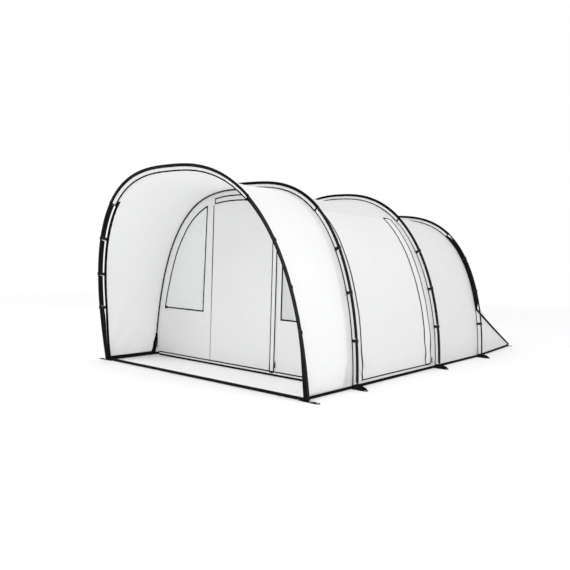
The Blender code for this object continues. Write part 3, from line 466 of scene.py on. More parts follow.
POLE = hard("glass_fibre_black", (0.009, 0.009, 0.010), 0.42, coat=0.04, specular=0.12, scale=60.0, streak=(1.0, 1.0, 0.12))
CLIP = hard("moulded_black", (0.010, 0.010, 0.0105), 0.54, specular=0.15, scale=260.0, depth=0.00015, strength=0.35)
STEEL = hard("zinc_steel", (0.60, 0.61, 0.63), 0.34, metallic=1.0, scale=90.0, streak=(1.0, 1.0, 8.0), strength=0.15)
ZIP = hard("zip_coil_pale", (0.62, 0.62, 0.63), 0.50, scale=300.0, strength=0.3)
FILM = film("clear_film")


# ------------------------------------------------------------------ mesh helpers
def make(name, verts, faces, mats, uv=None, index=None, angle=40.0, fix=False):
    me = bpy.data.meshes.new(name)
    me.from_pydata([tuple(v) for v in verts], [], faces)
    for m in mats:
        me.materials.append(m)
    if index:
        me.polygons.foreach_set("material_index", index)
    if fix:
        bm = bmesh.new()
        bm.from_mesh(me)
        bmesh.ops.recalc_face_normals(bm, faces=bm.faces)
        bm.to_mesh(me)
        bm.free()
    layer = me.uv_layers.new(name="UV")
    if uv is None:
        uv = box_uv(me)
        layer.data.foreach_set("uv", uv)
    else:
        flat = []
        for loop in me.loops:
            flat.extend(uv[loop.vertex_index])
        layer.data.foreach_set("uv", flat)
    me.polygons.foreach_set("use_smooth", [True] * len(me.polygons))
    if angle < 180:
        me.set_sharp_from_angle(angle=math.radians(angle))
    me.update()
    ob = bpy.data.objects.new(name, me)
    SCENE.collection.objects.link(ob)
    return ob


def box_uv(me):
    flat = []
    for poly in me.polygons:
        n = poly.normal
        ax = max(range(3), key=lambda i: abs(n[i]))
        i, j = [(1, 2), (0, 2), (0, 1)][ax]
        for li in poly.loop_indices:
            co = me.vertices[me.loops[li].vertex_index].co
            flat.extend((co[i], co[j]))
    return flat


def grid(name, rows, mats, skip=None, index=None, uvs=None):
    """Open sheet; rows[i][j], with the first row's first point at the right foot."""
    nr, nc = len(rows), len(rows[0])
    verts = [p for row in rows for p in row]
    faces, idx = [], []
    for i in range(nr - 1):
        for j in range(nc - 1):
            if skip and skip(i, j):
                continue
            faces.append((i * nc + j, (i + 1) * nc + j, (i + 1) * nc + j + 1, i * nc + j + 1))
            if index:
                idx.append(index(i, j))
    if uvs is None:
        uvs = []
        for i in range(nr):
            s = 0.0
            for j in range(nc):
                if j:
                    s += (Vector(rows[i][j]) - Vector(rows[i][j - 1])).length
                uvs.append([0.0, s])
        for j in range(nc):
            s = 0.0
            for i in range(nr):
                if i:
                    s += (Vector(rows[i][j]) - Vector(rows[i - 1][j])).length
                uvs[i * nc + j][0] = s
    used = sorted({v for f in faces for v in f})
    remap = {v: i for i, v in enumerate(used)}
    return make(name, [verts[v] for v in used], [tuple(remap[v] for v in f) for f in faces], mats,
                [uvs[v] for v in used], idx or None, angle=180)


def area_of(ob):
    return sum(p.area for p in ob.data.polygons)


def tangents(pts, closed=False):
    out = []
    n = len(pts)
    for i in range(n):
        a = pts[(i - 1) % n] if closed or i > 0 else pts[i]
        b = pts[(i + 1) % n] if closed or i < n - 1 else pts[i]
        out.append((b - a).normalized())
    return out


def sweep(name, pts, normals, profile, mats, closed=False, angle=40.0, index=None, mitre=False):
    """profile: closed loop of (across, up) carried along pts; across is to the right of travel."""
    pts = [Vector(p) for p in pts]
    n, m = len(pts), len(profile)
    verts, uv = [], []
    per = [0.0]
    for a, b in zip(profile, profile[1:] + profile[:1]):
        per.append(per[-1] + math.hypot(b[0] - a[0], b[1] - a[1]))
    tans = tangents(pts, closed)
    run = 0.0
    for i in range(n):
        if i:
            run += (pts[i] - pts[i - 1]).length
        t, nn = tans[i], Vector(normals[i])
        across = t.cross(nn).normalized()
        up = across.cross(t).normalized()
        k = 1.0
        if mitre and (closed or 0 < i < n - 1):
            d1 = (pts[i] - pts[(i - 1) % n]).normalized()
            k = 1.0 / max(0.35, abs(t.dot(d1)))
        for j, (a, h) in enumerate(profile):
            verts.append(pts[i] + across * a * k + up * h)
            uv.append((run, per[j]))
    faces, idx = [], []
    for i in range(n if closed else n - 1):
        i2 = (i + 1) % n
        for j in range(m):
            j2 = (j + 1) % m
            faces.append((i * m + j, i * m + j2, i2 * m + j2, i2 * m + j))
            if index:
                idx.append(index(i, j))
    if not closed:
        faces.append(tuple(range(m)))
        faces.append(tuple((n - 1) * m + j for j in reversed(range(m))))
        if index:
            idx += [index(0, 0), index(0, 0)]
    return make(name, verts, faces, mats, uv, idx or None, angle, fix=True)


def tape(name, pts, normals, width, mats, thick=0.0014, lift=0.0008, closed=False, mitre=False):
    w, e = width / 2, min(thick * 0.6, width * 0.2)
    prof = [(-w, lift), (-w, lift + thick * 0.4), (-w + e, lift + thick), (0.0, lift + thick * 1.08), (w - e, lift + thick),
            (w, lift + thick * 0.4), (w, lift)]
    return sweep(name, pts, normals, prof, mats, closed, angle=60, mitre=mitre)


def cord_line(name, pts, normals, radius, mats, sides=10, closed=False):
    prof = [(radius * math.cos(2 * math.pi * i / sides), radius * math.sin(2 * math.pi * i / sides)) for i in range(sides)]
    return sweep(name, pts, normals, prof, mats, closed, angle=180)


def inside(x, y, poly):
    hit = False
    for (x0, y0), (x1, y1) in zip(poly, poly[1:] + poly[:1]):
        if (y0 > y) != (y1 > y) and x < (x1 - x0) * (y - y0) / (y1 - y0) + x0:
            hit = not hit
    return hit


def near(x, y, poly):
    best = 9.0
    for (x0, y0), (x1, y1) in zip(poly, poly[1:] + poly[:1]):
        dx, dy = x1 - x0, y1 - y0
        t = clamp(((x - x0) * dx + (y - y0) * dy) / ((dx * dx + dy * dy) or 1e-12))
        best = min(best, math.hypot(x - x0 - dx * t, y - y0 - dy * t))
    return best


def finer(poly, pitch):
    out = []
    for (x0, y0), (x1, y1) in zip(poly, poly[1:] + poly[:1]):
        k = max(1, round(math.hypot(x1 - x0, y1 - y0) / pitch))
        out += [(lerp(x0, x1, i / k), lerp(y0, y1, i / k)) for i in range(k)]
    return out


def planar(name, outline, holes, mats, where, pitch=0.035):
    """Flat cut piece, meshed evenly; where(x, z) places a point of it."""
    loops = [finer(outline, pitch)] + [finer(h, pitch) for h in holes]
    pts, edges = [], []
    for lp in loops:
        k = len(pts)
        pts += lp
        edges += [(k + i, k + (i + 1) % len(lp)) for i in range(len(lp))]
    xs, ys = [p[0] for p in outline], [p[1] for p in outline]
    j = 0
    y = min(ys) + pitch / 2
    while y < max(ys):
        x = min(xs) + (pitch / 2 if j % 2 else 0.0)
        while x < max(xs):
            if inside(x, y, outline) and not any(inside(x, y, h) for h in holes) and \
                    min(near(x, y, lp) for lp in [outline] + holes) > pitch * 0.45:
                pts.append((x, y))
            x += pitch
        y += pitch * 0.87
        j += 1
    vs, _, fs, *_ = geometry.delaunay_2d_cdt([Vector(p) for p in pts], edges, [], 0, 1e-6)
    keep = []
    for f in fs:
        cx = sum(vs[i].x for i in f) / len(f)
        cy = sum(vs[i].y for i in f) / len(f)
        if inside(cx, cy, loops[0]) and not any(inside(cx, cy, h) for h in loops[1:]):
            keep.append(tuple(f))
    used = sorted({i for f in keep for i in f})
    remap = {v: i for i, v in enumerate(used)}
    verts = [where(vs[i].x, vs[i].y) for i in used]
    uv = [(vs[i].x, vs[i].y) for i in used]
    faces = []
    for f in keep:
        a, b, c = (vs[i] for i in f[:3])
        ccw = (b.x - a.x) * (c.y - a.y) - (b.y - a.y) * (c.x - a.x) > 0
        g = tuple(remap[i] for i in f)
        faces.append(g if ccw else tuple(reversed(g)))
    return make(name, verts, faces, mats, uv, angle=180)


def joined(name, objects):
    """One mesh out of several closed pieces."""
    bm = bmesh.new()
    mats = []
    for ob in objects:
        base = []
        for m in ob.data.materials:
            if m not in mats:
                mats.append(m)
            base.append(mats.index(m))
        tmp = ob.data.copy()
        tmp.transform(ob.matrix_world)
        idx = [base[p.material_index] for p in tmp.polygons]
        tmp.polygons.foreach_set("material_index", idx)
        bm.from_mesh(tmp)
        bpy.data.meshes.remove(tmp)
    me = bpy.data.meshes.new(name)
    bm.to_mesh(me)
    bm.free()
    for m in mats:
        me.materials.append(m)
    for ob in objects:
        old = ob.data
        bpy.data.objects.remove(ob, do_unlink=True)
        bpy.data.meshes.remove(old)
    ob = bpy.data.objects.new(name, me)
    SCENE.collection.objects.link(ob)
    return ob


def put(ob, body="tent", nodes=()):
    if nodes:
        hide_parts(*nodes)
    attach(ob, body)
    return ob


FLAT = {}


def declare(ob, flat):
    """Declares a sheet, with the cut's area where the cut isn't a rectangle."""
    a = area_of(ob)
    w, l = flat
    share = a / (w * l)
    FLAT[ob.name] = (round(w, 3), round(l, 3), round(min(a, w * l), 4))


# ------------------------------------------------------------------ poles, clips and sleeves
def pole(k):
    total = arc(k)
    start = 0.0110
    n = 150
    us = [(start + (total - 2 * start) * i / n) / total for i in range(n + 1)]
    collars = [0.66, 1.32]
    rings, radii = [], []
    pts = [hoop(k, 0.0, u)[0] for u in us]
    nrm = [hoop(k, 0.0, u)[1] for u in us]
    # stations where a socket collar begins and ends are added
    extra = []
    for c in collars:
        for c0 in (c, total - c):
            for d, r in ((-0.0262, 0), (-0.0250, 1), (0.0250, 1), (0.0262, 0)):
                extra.append(((c0 + d) / total, r))
    line = sorted([(u, None) for u in us] + extra)
    prof = []
    for u, r in line:
        s = u * total
        on = any(abs(s - c0) < 0.0255 for c in collars for c0 in (c, total - c))
        prof.append((u, POLE_R + (0.0006 if (r == 1 or (r is None and on)) else 0.0)))
    sides = 18
    bore, depth = 0.0050, 0.055
    first, last = prof[0][0], prof[-1][0]
    seq = [(first + depth / total, bore * 0.02), (first + depth / total, bore), (first, bore), (first, POLE_R - 0.0006),
           (first + 0.0006 / total, POLE_R)] + prof[1:-1] + \
        [(last - 0.0006 / total, POLE_R), (last, POLE_R - 0.0006), (last, bore), (last - depth / total, bore),
         (last - depth / total, bore * 0.02)]
    verts, faces, uv = [], [], []
    ax = plane_axis(k)
    for u, r in seq:
        p, nn = hoop(k, 0.0, u)
        for j in range(sides):
            a = 2 * math.pi * j / sides
            verts.append(p + nn * (r * math.cos(a)) + ax * (r * math.sin(a)))
            uv.append((r * a, u * total))
    for i in range(len(seq) - 1):
        for j in range(sides):
            j2 = (j + 1) % sides
            faces.append((i * sides + j, i * sides + j2, (i + 1) * sides + j2, (i + 1) * sides + j))
    faces.append(tuple(range(sides)))
    faces.append(tuple((len(seq) - 1) * sides + j for j in reversed(range(sides))))
    ob = make("v_pole_%d" % k, verts, faces, [POLE], uv, angle=50, fix=True)
    return put(ob, nodes=["pole_%d" % k])


def sleeve(k):
    ue = u_at(k, SLEEVE_END[k])
    n = 132
    ax = plane_axis(k)
    prof = [(-0.0500, 0.0050), (-0.0465, 0.0040), (-0.0380, 0.0030), (-0.0270, 0.0027), (-0.0185, 0.0034),
            (-0.0172, 0.0046), (-0.0140, 0.0058)]
    turn = [(SLEEVE_R * math.cos(math.radians(a)), SLEEVE_R * math.sin(math.radians(a))) for a in
            [140 - 280 * i / 14 for i in range(15)]]
    half = prof + turn + [(h, -a) for h, a in reversed(prof)]
    black0, black1 = 4, len(half) - 6

    def at(u, h, a):
        p, nn = hoop(k, 0.0, u)
        s = u * arc(k)
        lean = BACK[k] * clamp(-h / INSET)
        wave = 0.0009 * math.sin(s * 2 * math.pi / 0.11 + k) * clamp((-h - 0.012) / 0.02) * clamp((0.052 + h) / 0.01)
        return p + nn * h + ax * (a + lean + wave)
    rows = [[at(lerp(ue, 1 - ue, i / n), h, a) for h, a in half] for i in range(n + 1)]
    per = sum(math.hypot(b[0] - a[0], b[1] - a[1]) for a, b in zip(half, half[1:]))
    ob = grid("v_sleeve_%d" % k, rows, [SLEEVE, POCKET], index=lambda i, j: 1 if black0 <= j < black1 else 0)
    put(ob, nodes=["sleeve_%d" % k])
    for e, (u0, u1) in enumerate(((ue - 0.0010, ue + 0.0016), (1 - ue - 0.0016, 1 - ue + 0.0010))):
        grown = [(h * 1.0 + (0.0012 if h > 0 else 0.0), a + math.copysign(0.0012, a) if abs(a) > 0.0005 else a) for h, a in half]
        inner = [(h - (0.0004 if h > 0 else 0.0), a * 0.93) for h, a in half]
        loop = grown + list(reversed(inner))
        r = [[at(u, h, a) for h, a in loop + [loop[0]]] for u in (u0, lerp(u0, u1, 0.5), u1)]
        g = grid("v_sleeve_end_%d_%s" % (k, "right" if e == 0 else "left"), r, [TRIM])
        put(g)
    # round piping in the corner between the sleeve's foot and the flysheet
    sides = ((-1, "front"),) if k == 1 else ((-1, "front"), (1, "rear"))
    for sg, nm in sides:
        pts, nn = [], []
        for i in range(n + 1):
            u = lerp(ue - 0.001, 1 - ue + 0.001, i / n)
            p, q = hoop(k, 0.0, u)
            pts.append(p - q * (INSET - 0.0022) + ax * (BACK[k] + sg * 0.0062))
            nn.append(q)
        r = 0.0066
        c = cord_line("v_seam_piping_%d_%s" % (k, nm), pts, nn, r, [TRIM])
        put(c)
    declare(ob, (arc(k) * (1 - 2 * ue), per))
    return ob


def hook_mesh(name, base, centre, along):
    """Snap hook: C round the pole, tapered stem, sewn foot."""
    out = (centre - base)
    reach = out.length
    out.normalize()
    along = (along - out * along.dot(out)).normalized()
    across = along.cross(out).normalized()
    ro, ri = 0.0128, 0.0090
    pts = []
    a0, a1, steps = math.radians(70), math.radians(372), 26
    w = 0.0042
    for i in range(steps + 1):
        a = lerp(a0, a1, i / steps)
        pts.append((ro * math.cos(a), ro * math.sin(a)))
    for i in range(steps + 1):
        a = lerp(a1, a0, i / steps)
        pts.append((ri * math.cos(a), ri * math.sin(a)))
    half = 0.0140
    verts, faces = [], []
    for z in (-half, half):
        for x, y in pts:
            verts.append(centre + out * x + across * y + along * z)
    m = len(pts)
    for i in range(m):
        j = (i + 1) % m
        faces.append((i, j, m + j, m + i))
    s = steps + 1
    for i in range(steps):
        faces.append((i, i + 1, m - 2 - i, m - 1 - i))
        faces.append((m + i, m + m - 1 - i, m + m - 2 - i, m + i + 1))
    c = make(name + "_c", verts, faces, [CLIP], angle=35, fix=True)
    # stem and foot as one tapered block
    prof = [(-reach + 0.0012, 0.0105, 0.0165), (-reach + 0.0032, 0.0105, 0.0165), (-reach + 0.0046, 0.0070, 0.0150),
            (-reach * 0.55, 0.0052, 0.0134), (-ri - 0.0010, 0.0052, half)]
    verts, faces = [], []
    for h, wa, wl in prof:
        for sa, sl in ((-1, -1), (1, -1), (1, 1), (-1, 1)):
            verts.append(centre + out * h + across * (sa * wa) + along * (sl * wl))
    for i in range(len(prof) - 1):
        for j in range(4):
            j2 = (j + 1) % 4
            faces.append((i * 4 + j, i * 4 + j2, (i + 1) * 4 + j2, (i + 1) * 4 + j))
    faces += [(3, 2, 1, 0), tuple((len(prof) - 1) * 4 + j for j in range(4))]
    st = make(name + "_s", verts, faces, [CLIP], angle=35, fix=True)
    return [c, st]


def seam_edge(k, u, lift=0.0, shift=0.0):
    """Point on the flysheet at a hoop's seam."""
    p, n = hoop(k, INSET, u, HEM, BACK[k])
    return p + n * lift + plane_axis(k) * shift, n


RAIL = {1: (0.0330, 0.125), 2: (0.0115, 0.050), 3: (0.0115, 0.050)}   # second tape beside the pole: width, lower end
FIN = {4: (0.560, 1.415)}      # where a webbing fin fills the strip between seam and pole


def clip_strip(k, side):
    sg = 1 if side == "right" else -1
    top = u_at(k, SLEEVE_END[k] - 0.012, INSET, HEM)
    low = 0.012 / arc(k, INSET, HEM)
    n = 48
    pts, nn = [], []
    for i in range(n + 1):
        u = lerp(low, top, i / n)
        u = u if sg > 0 else 1 - u
        p, q = seam_edge(k, u, 0.0, 0.009 if k == 1 else 0.0)
        pts.append(p)
        nn.append(q)
    name = "v_clip_tape_%d_%s" % (k, side)
    wide = 0.020 if k == 1 else 0.0145
    t = tape(name, pts, nn, wide, [WEB], thick=0.0014, lift=0.0009)
    put(t, nodes=["clip_strip_%d_%s" % (k, side)])
    run = sum((b - a).length for a, b in zip(pts, pts[1:]))
    for c, z in enumerate(CLIP_Z[k]):
        u = u_at(k, z)
        u = u if sg > 0 else 1 - u
        centre, nrm = hoop(k, 0.0, u)
        a, b = hoop(k, 0.0, u - 0.003)[0], hoop(k, 0.0, u + 0.003)[0]
        s_u = u_at(k, z - (0.05 * abs(nrm.z)), INSET, HEM)
        s_u = s_u if sg > 0 else 1 - s_u
        base = centre - nrm * (INSET - 0.0020) + plane_axis(k) * (BACK[k] * smooth(z / 0.6) + (0.009 if k == 1 else 0.0))
        h = joined("v_hook_%d_%s_%d" % (k, side, c), hook_mesh("h%d%s%d" % (k, side, c), base, centre, b - a))
        mod = h.modifiers.new("edges", "BEVEL")
        mod.width, mod.segments, mod.limit_method, mod.angle_limit = 0.0007, 2, "ANGLE", math.radians(50)
        put(h)
    if k in RAIL:
        w, z_low = RAIL[k]
        stops = [z_low] + [v for c in CLIP_Z[k] if c > z_low for v in (c - 0.0155, c + 0.0155)] + [SLEEVE_END[k] - 0.006]
        parts = []
        for a, b in zip(stops[0::2], stops[1::2]):
            if b - a < 0.04:
                continue
            rows = []
            for z in steps(a, b, 16):
                u = u_at(k, z) if sg > 0 else 1 - u_at(k, z)
                centre, nrm = hoop(k, 0.0, u)
                to_seam = seam_edge(k, u)[0] - centre
                inward = to_seam.normalized()
                full = to_seam.length - POLE_R - 0.006
                wz = lerp(w, full, smooth((0.56 - z) / 0.20)) if k == 1 else w
                h0, h1 = POLE_R + 0.0004, POLE_R + 0.0004 + min(wz, full)
                ax = plane_axis(k) * 0.0008
                loop = [centre + inward * h0 + ax, centre + inward * h1 + ax, centre + inward * h1 - ax,
                        centre + inward * h0 - ax]
                rows.append(loop + [loop[0]])
            parts.append(grid("v_rl", rows, [WEB]))
        put(joined("v_clip_rail_%d_%s" % (k, side), parts))
    if k in FIN:
        z0, z1 = FIN[k]
        rows = []
        for i in range(41):
            z = lerp(z0, z1, i / 40)
            u = u_at(k, z)
            su = u_at(k, z, INSET, HEM)
            u, su = (u, su) if sg > 0 else (1 - u, 1 - su)
            centre, nrm = hoop(k, 0.0, u)
            base = seam_edge(k, su, 0.0035, 0.009 if k == 1 else 0.0)[0]
            d = (centre - base).normalized()
            tip = centre - d * (POLE_R + 0.0014)
            wave = 0.0012 * math.sin(i * 0.9)
            taper = smooth(min(i, 40 - i) / 3.0)
            rows.append([base.lerp(tip, t * lerp(0.55, 1.0 if k == 4 else 0.66, taper)) + plane_axis(k) * (wave * math.sin(math.pi * t)) for t in steps(0, 1, 7)])
        fin = grid("v_clip_fin_%d_%s" % (k, side), rows, [WEB])
        mod = fin.modifiers.new("thickness", "SOLIDIFY")
        mod.thickness, mod.offset = 0.0014, 0.0
        put(fin)
    wide += 0.0015
    FLAT[t.name] = (wide, round(run, 3), round(wide * run, 4))
    return t


for k in HOOPS:
    pole(k)
    sleeve(k)
    for side in ("right", "left"):
        clip_strip(k, side)


# ------------------------------------------------------------------ feet
def cut_shape(name, outline, holes, thick, z, mats, place):
    """Flat cut webbing with rounded rims."""
    cu = bpy.data.curves.new(name, "CURVE")
    cu.dimensions = "2D"
    cu.fill_mode = "BOTH"
    cu.extrude = thick / 2 - 0.0004
    cu.bevel_depth = 0.0004
    cu.bevel_resolution = 1
    cu.offset = -0.0004
    for line in [outline] + holes:
        sp = cu.splines.new("POLY")
        sp.points.add(len(line) - 1)
        for pt, (x, y) in zip(sp.points, line):
            pt.co = (x, y, 0.0, 1.0)
        sp.use_cyclic_u = True
    tmp = bpy.data.objects.new(name + "_t", cu)
    SCENE.collection.objects.link(tmp)
    dg = bpy.context.evaluated_depsgraph_get()
    dg.update()
    me = bpy.data.meshes.new_from_object(tmp.evaluated_get(dg), depsgraph=dg)
    bpy.data.objects.remove(tmp, do_unlink=True)
    bpy.data.curves.remove(cu)
    bm = bmesh.new()
    bm.from_mesh(me)
    bmesh.ops.remove_doubles(bm, verts=bm.verts, dist=1e-5)
    bmesh.ops.recalc_face_normals(bm, faces=bm.faces)
    verts = [place(v.co.x, v.co.y, v.co.z + z) for v in bm.verts]
    uv = [(v.co.x, v.co.y) for v in bm.verts]
    bm.verts.index_update()
    faces = [tuple(v.index for v in f.verts) for f in bm.faces]
    bm.free()
    bpy.data.meshes.remove(me)
    return make(name, verts, faces, mats, uv, angle=40, fix=True)


TAB_IN, TAB_OUT, TAB_W, EYE_X, EYE_R = 1.205, 1.402, 0.050, 1.378, 0.0065


def circle(x, y, r, n=24):
    return [(x + r * math.cos(2 * math.pi * i / n), y + r * math.sin(2 * math.pi * i / n)) for i in range(n)]


def foot(k, side):
    sg = 1 if side == "right" else -1
    y = Y_FRONT + HOOPS[k][0]
    half = [(lerp(TAB_IN, 1.340, i / 12), lerp(0.016, TAB_W / 2, smooth(i / 12))) for i in range(13)]
    half += [(1.374 + (TAB_OUT - 1.374) * math.cos(math.radians(90 - 7.5 * i)), TAB_W / 2 * math.sin(math.radians(90 - 7.5 * i)))
             for i in range(1, 13)]
    pts = half + [(x, -yy) for x, yy in reversed(half[:-1])]
    t = cut_shape("v_foot_tab_%d_%s" % (k, side), [(x * sg, yy) for x, yy in pts], [circle(EYE_X * sg, 0, EYE_R)],
                  0.0030, 0.0015, [WEB], lambda x, yy, z: (x, y + yy, z))
    put(t, nodes=["foot_tab_%d_%s" % (k, side)])
    # plated eyelet pressed into the eye
    prof = [(EYE_R - 0.0004, 0.0004), (EYE_R + 0.0035, 0.0031), (EYE_R + 0.0026, 0.0040), (EYE_R + 0.0004, 0.0042),
            (EYE_R - 0.0010, 0.0034), (EYE_R - 0.0012, 0.0010)]
    verts, faces = [], []
    m, n = len(prof), 28
    for i in range(n):
        a = 2 * math.pi * i / n
        for r, z in prof:
            verts.append((EYE_X * sg + r * math.cos(a), y + r * math.sin(a), z))
    for i in range(n):
        i2 = (i + 1) % n
        for j in range(m):
            j2 = (j + 1) % m
            faces.append((i * m + j, i * m + j2, i2 * m + j2, i2 * m + j))
    e = make("v_eyelet_%d_%s" % (k, side), verts, faces, [STEEL], angle=60, fix=True)
    put(e)
    # double row of stitching across the tab
    st = []
    for row in range(2):
        x = (1.318 + 0.009 * row) * sg
        st.append(cord_line("v_st", [Vector((x, y - 0.019 + 0.0038 * i, 0.0031)) for i in range(11)],
                            [Vector((0, 0, 1))] * 11, 0.0006, [GREY_LINE], 6))
    st = put(joined("v_tab_stitch_%d_%s" % (k, side), st))
    for yy, nm in ((-0.0212, "front"), (0.0212, "rear")) if k > 1 else ():
        line = [(1.258, 0.0034), (1.256, 0.0300), (1.260, 0.0365), (1.268, 0.0395), (1.282, 0.0400), (1.310, 0.0370), (1.340, 0.0310),
                (1.362, 0.0235), (1.376, 0.0155), (1.3835, 0.0085), (1.3850, 0.0034)]
        line = [(x * sg, z) for x, z in line]
        g = cut_shape("v_gore_%d_%s_%s" % (k, side, nm), line, [], 0.0022, 0.0, [WEB], lambda px, pz, d, yy=yy: (px, y + yy + d, pz))
        put(g)
    FLAT[t.name] = (TAB_W, round(TAB_OUT - TAB_IN, 3), round(area_of(t) / 2.15, 4))
    # ring and pin
    p0, p1 = hoop(k, 0.0, 0.0110 / arc(k))[0], hoop(k, 0.0, 0.06 / arc(k))[0]
    axis = (p1 - p0).normalized()
    foot_p = p0 - axis * (p0.z / axis.z)
    axis.x, foot_p.x = axis.x * sg, foot_p.x * sg
    cx, cz = foot_p.x + 0.0150 * sg, 0.0030 + 0.0003 + 0.0024
    R, r = 0.015, 0.0024
    verts, faces = [], []
    n, m = 44, 12
    for i in range(n):
        a = 2 * math.pi * i / n
        for j in range(m):
            b = 2 * math.pi * j / m
            verts.append((cx + (R + r * math.cos(b)) * math.cos(a), y + (R + r * math.cos(b)) * math.sin(a), cz + r * math.sin(b)))
    for i in range(n):
        for j in range(m):
            faces.append((i * m + j, ((i + 1) % n) * m + j, ((i + 1) % n) * m + (j + 1) % m, i * m + (j + 1) % m))
    ring = make("v_rg", verts, faces, [STEEL], angle=180, fix=True)
    start = foot_p + axis * 0.0045
    pts = [start, start + axis * 0.002, start + axis * 0.046, start + axis * 0.049, start + axis * 0.050]
    rad = [0.0034, 0.0042, 0.0042, 0.0032, 0.0012]
    side_v = Vector((0, 1, 0))
    other = axis.cross(side_v).normalized()
    verts, faces = [], []
    for p, rr in zip(pts, rad):
        for j in range(16):
            a = 2 * math.pi * j / 16
            verts.append(p + side_v * rr * math.cos(a) + other * rr * math.sin(a))
    for i in range(4):
        for j in range(16):
            faces.append((i * 16 + j, i * 16 + (j + 1) % 16, (i + 1) * 16 + (j + 1) % 16, (i + 1) * 16 + j))
    faces += [tuple(range(16)), tuple(64 + j for j in range(16))]
    pin = make("v_pn", verts, faces, [STEEL], angle=50, fix=True)
    put(joined("v_ring_pin_%d_%s" % (k, side), [ring, pin]), nodes=["ring_pin_%d_%s" % (k, side)])


for k in HOOPS:
    for side in ("right", "left"):
        foot(k, side)

for nm, x, deg in (("right", REAR_X - 0.006, -38), ("centre", 0.0, 0), ("left", -REAR_X + 0.006, 38)):
    w, l = 0.025, 0.078
    pts = [(-w / 2, 0.0), (w / 2, 0.0)] + [(w / 2 * math.cos(math.radians(a)), l - w / 2 + w / 2 * math.sin(math.radians(a)))
                                          for a in range(0, 181, 15)]
    ca, sa = math.cos(math.radians(deg)), math.sin(math.radians(deg))
    t = cut_shape("v_rear_tab_%s" % nm, pts, [circle(0, l - w / 2, 0.0062, 20)], 0.0022, 0.0011, [WEB],
                  lambda px, py, pz, x=x, ca=ca, sa=sa: (x + px * ca - py * sa, Y_REAR - 0.024 + px * sa + py * ca, pz))
    put(t, nodes=["rear_tab_%s" % nm])
    FLAT[t.name] = (w, l, round(area_of(t) / 2.2, 5))


# ------------------------------------------------------------------ flysheet bays
def fly_grid(name, bay, fs, us, node, skip=None, warp=None, mats=None):
    rows = []
    for f in fs:
        rows.append([fly_at(bay, f, warp(f, u) if warp else u) for u in us])
    return grid(name, rows, mats or [FLY], skip)


NU = 264
porch = fly_grid("v_fly_porch", 1, steps(0.0, 1.0, 32), steps(0.0, 1.0, NU), "fly_porch")
put(porch, nodes=["fly_porch"])
bedroom_bay = fly_grid("v_fly_bedroom", 3, steps(0.0, 1.0, 34), steps(0.0, 1.0, NU), "fly_bedroom")
put(bedroom_bay, nodes=["fly_bedroom"])

FA, FB = f_at_y(2, SIDE_Y0, 0.2), f_at_y(2, SIDE_Y1, 0.2)
FM = lerp(FA, FB, 1 / 3)


def u_on_bay2(height, f):
    lo, hi = 0.0, 0.5
    for _ in range(36):
        mid = (lo + hi) / 2
        if bay_point(2, f, mid)[0].z < height:
            lo = mid
        else:
            hi = mid
    return (lo + hi) / 2


UA, UB = u_on_bay2(SIDE_Z0, (FA + FB) / 2), u_on_bay2(SIDE_Z1, (FA + FB) / 2)


def head_u(f):
    """Top of the side doorway."""
    if f < FA:
        return UB - HEAD_DROP * f / FA
    return UB - HEAD_DROP * clamp((FM - f) / (FM - FA))


def door_warp(f, u):
    top = head_u(f)
    if u <= UA:
        return u
    if u <= UB:
        return lerp(UA, top, (u - UA) / (UB - UA))
    return lerp(top, 1.0, (u - UB) / (1.0 - UB))


n_low, n_door = 3, 96
us2 = steps(0.0, UA, n_low)[:-1] + steps(UA, UB, n_door)[:-1] + steps(UB, 1.0, NU - n_door)
fs2 = steps(0.0, FA, 5)[:-1] + steps(FA, FB, 36)[:-1] + steps(FB, 1.0, 4)
living = fly_grid("v_fly_living", 2, fs2, us2, "fly_living",
                  skip=lambda i, j: 5 <= i < 41 and n_low <= j < n_low + n_door, warp=door_warp)
put(living, nodes=["fly_living"])

us4 = steps(0, UC, 14)[:-1] + steps(UC, 1 - UC, 110)[:-1] + steps(1 - UC, 1, 14)
rear_ob = grid("v_fly_rear", [[rear(s, u)[0] for u in us4] for s in steps(0.0, 1.0, 34)], [FLY])
put(rear_ob, nodes=["fly_rear"])

for side, u in (("right", UC), ("left", 1 - UC)):
    pts, nn = [], []
    for i in range(41):
        p, n = rear(i / 40, u)
        pts.append(p + n * 0.0060)
        nn.append(n)
    c = cord_line("v_rear_corner_piping_%s" % side, pts, nn, 0.0110, [TRIM], 12)
    put(c)

# ------------------------------------------------------------------ hem bands
def hem_path():
    """Points of the flysheet's lower edge from the right front foot round the rear to the left front foot, each with a
    point a little way up the cloth."""
    pts = []
    for bay in (1, 2, 3):
        for f in steps(0.0, 1.0, 16)[(0 if bay == 1 else 1):]:
            pts.append((fly(bay, f, 0.0)[0], fly(bay, f, 0.006)[0]))
    for s in steps(0.0, 1.0, 18)[1:]:
        pts.append((rear(s, 0.0)[0], rear(s, 0.004)[0]))
    for u in steps(0.0, 1.0, 60)[1:-1]:
        pts.append((rear(1.0, u)[0], rear(0.985, u)[0]))
    for s in reversed(steps(0.0, 1.0, 18)):
        pts.append((rear(s, 1.0)[0], rear(s, 0.996)[0]))
    for bay in (3, 2, 1):
        for f in reversed(steps(0.0, 1.0, 16)[:-1]):
            pts.append((fly(bay, f, 1.0)[0], fly(bay, f, 0.994)[0]))
    return pts


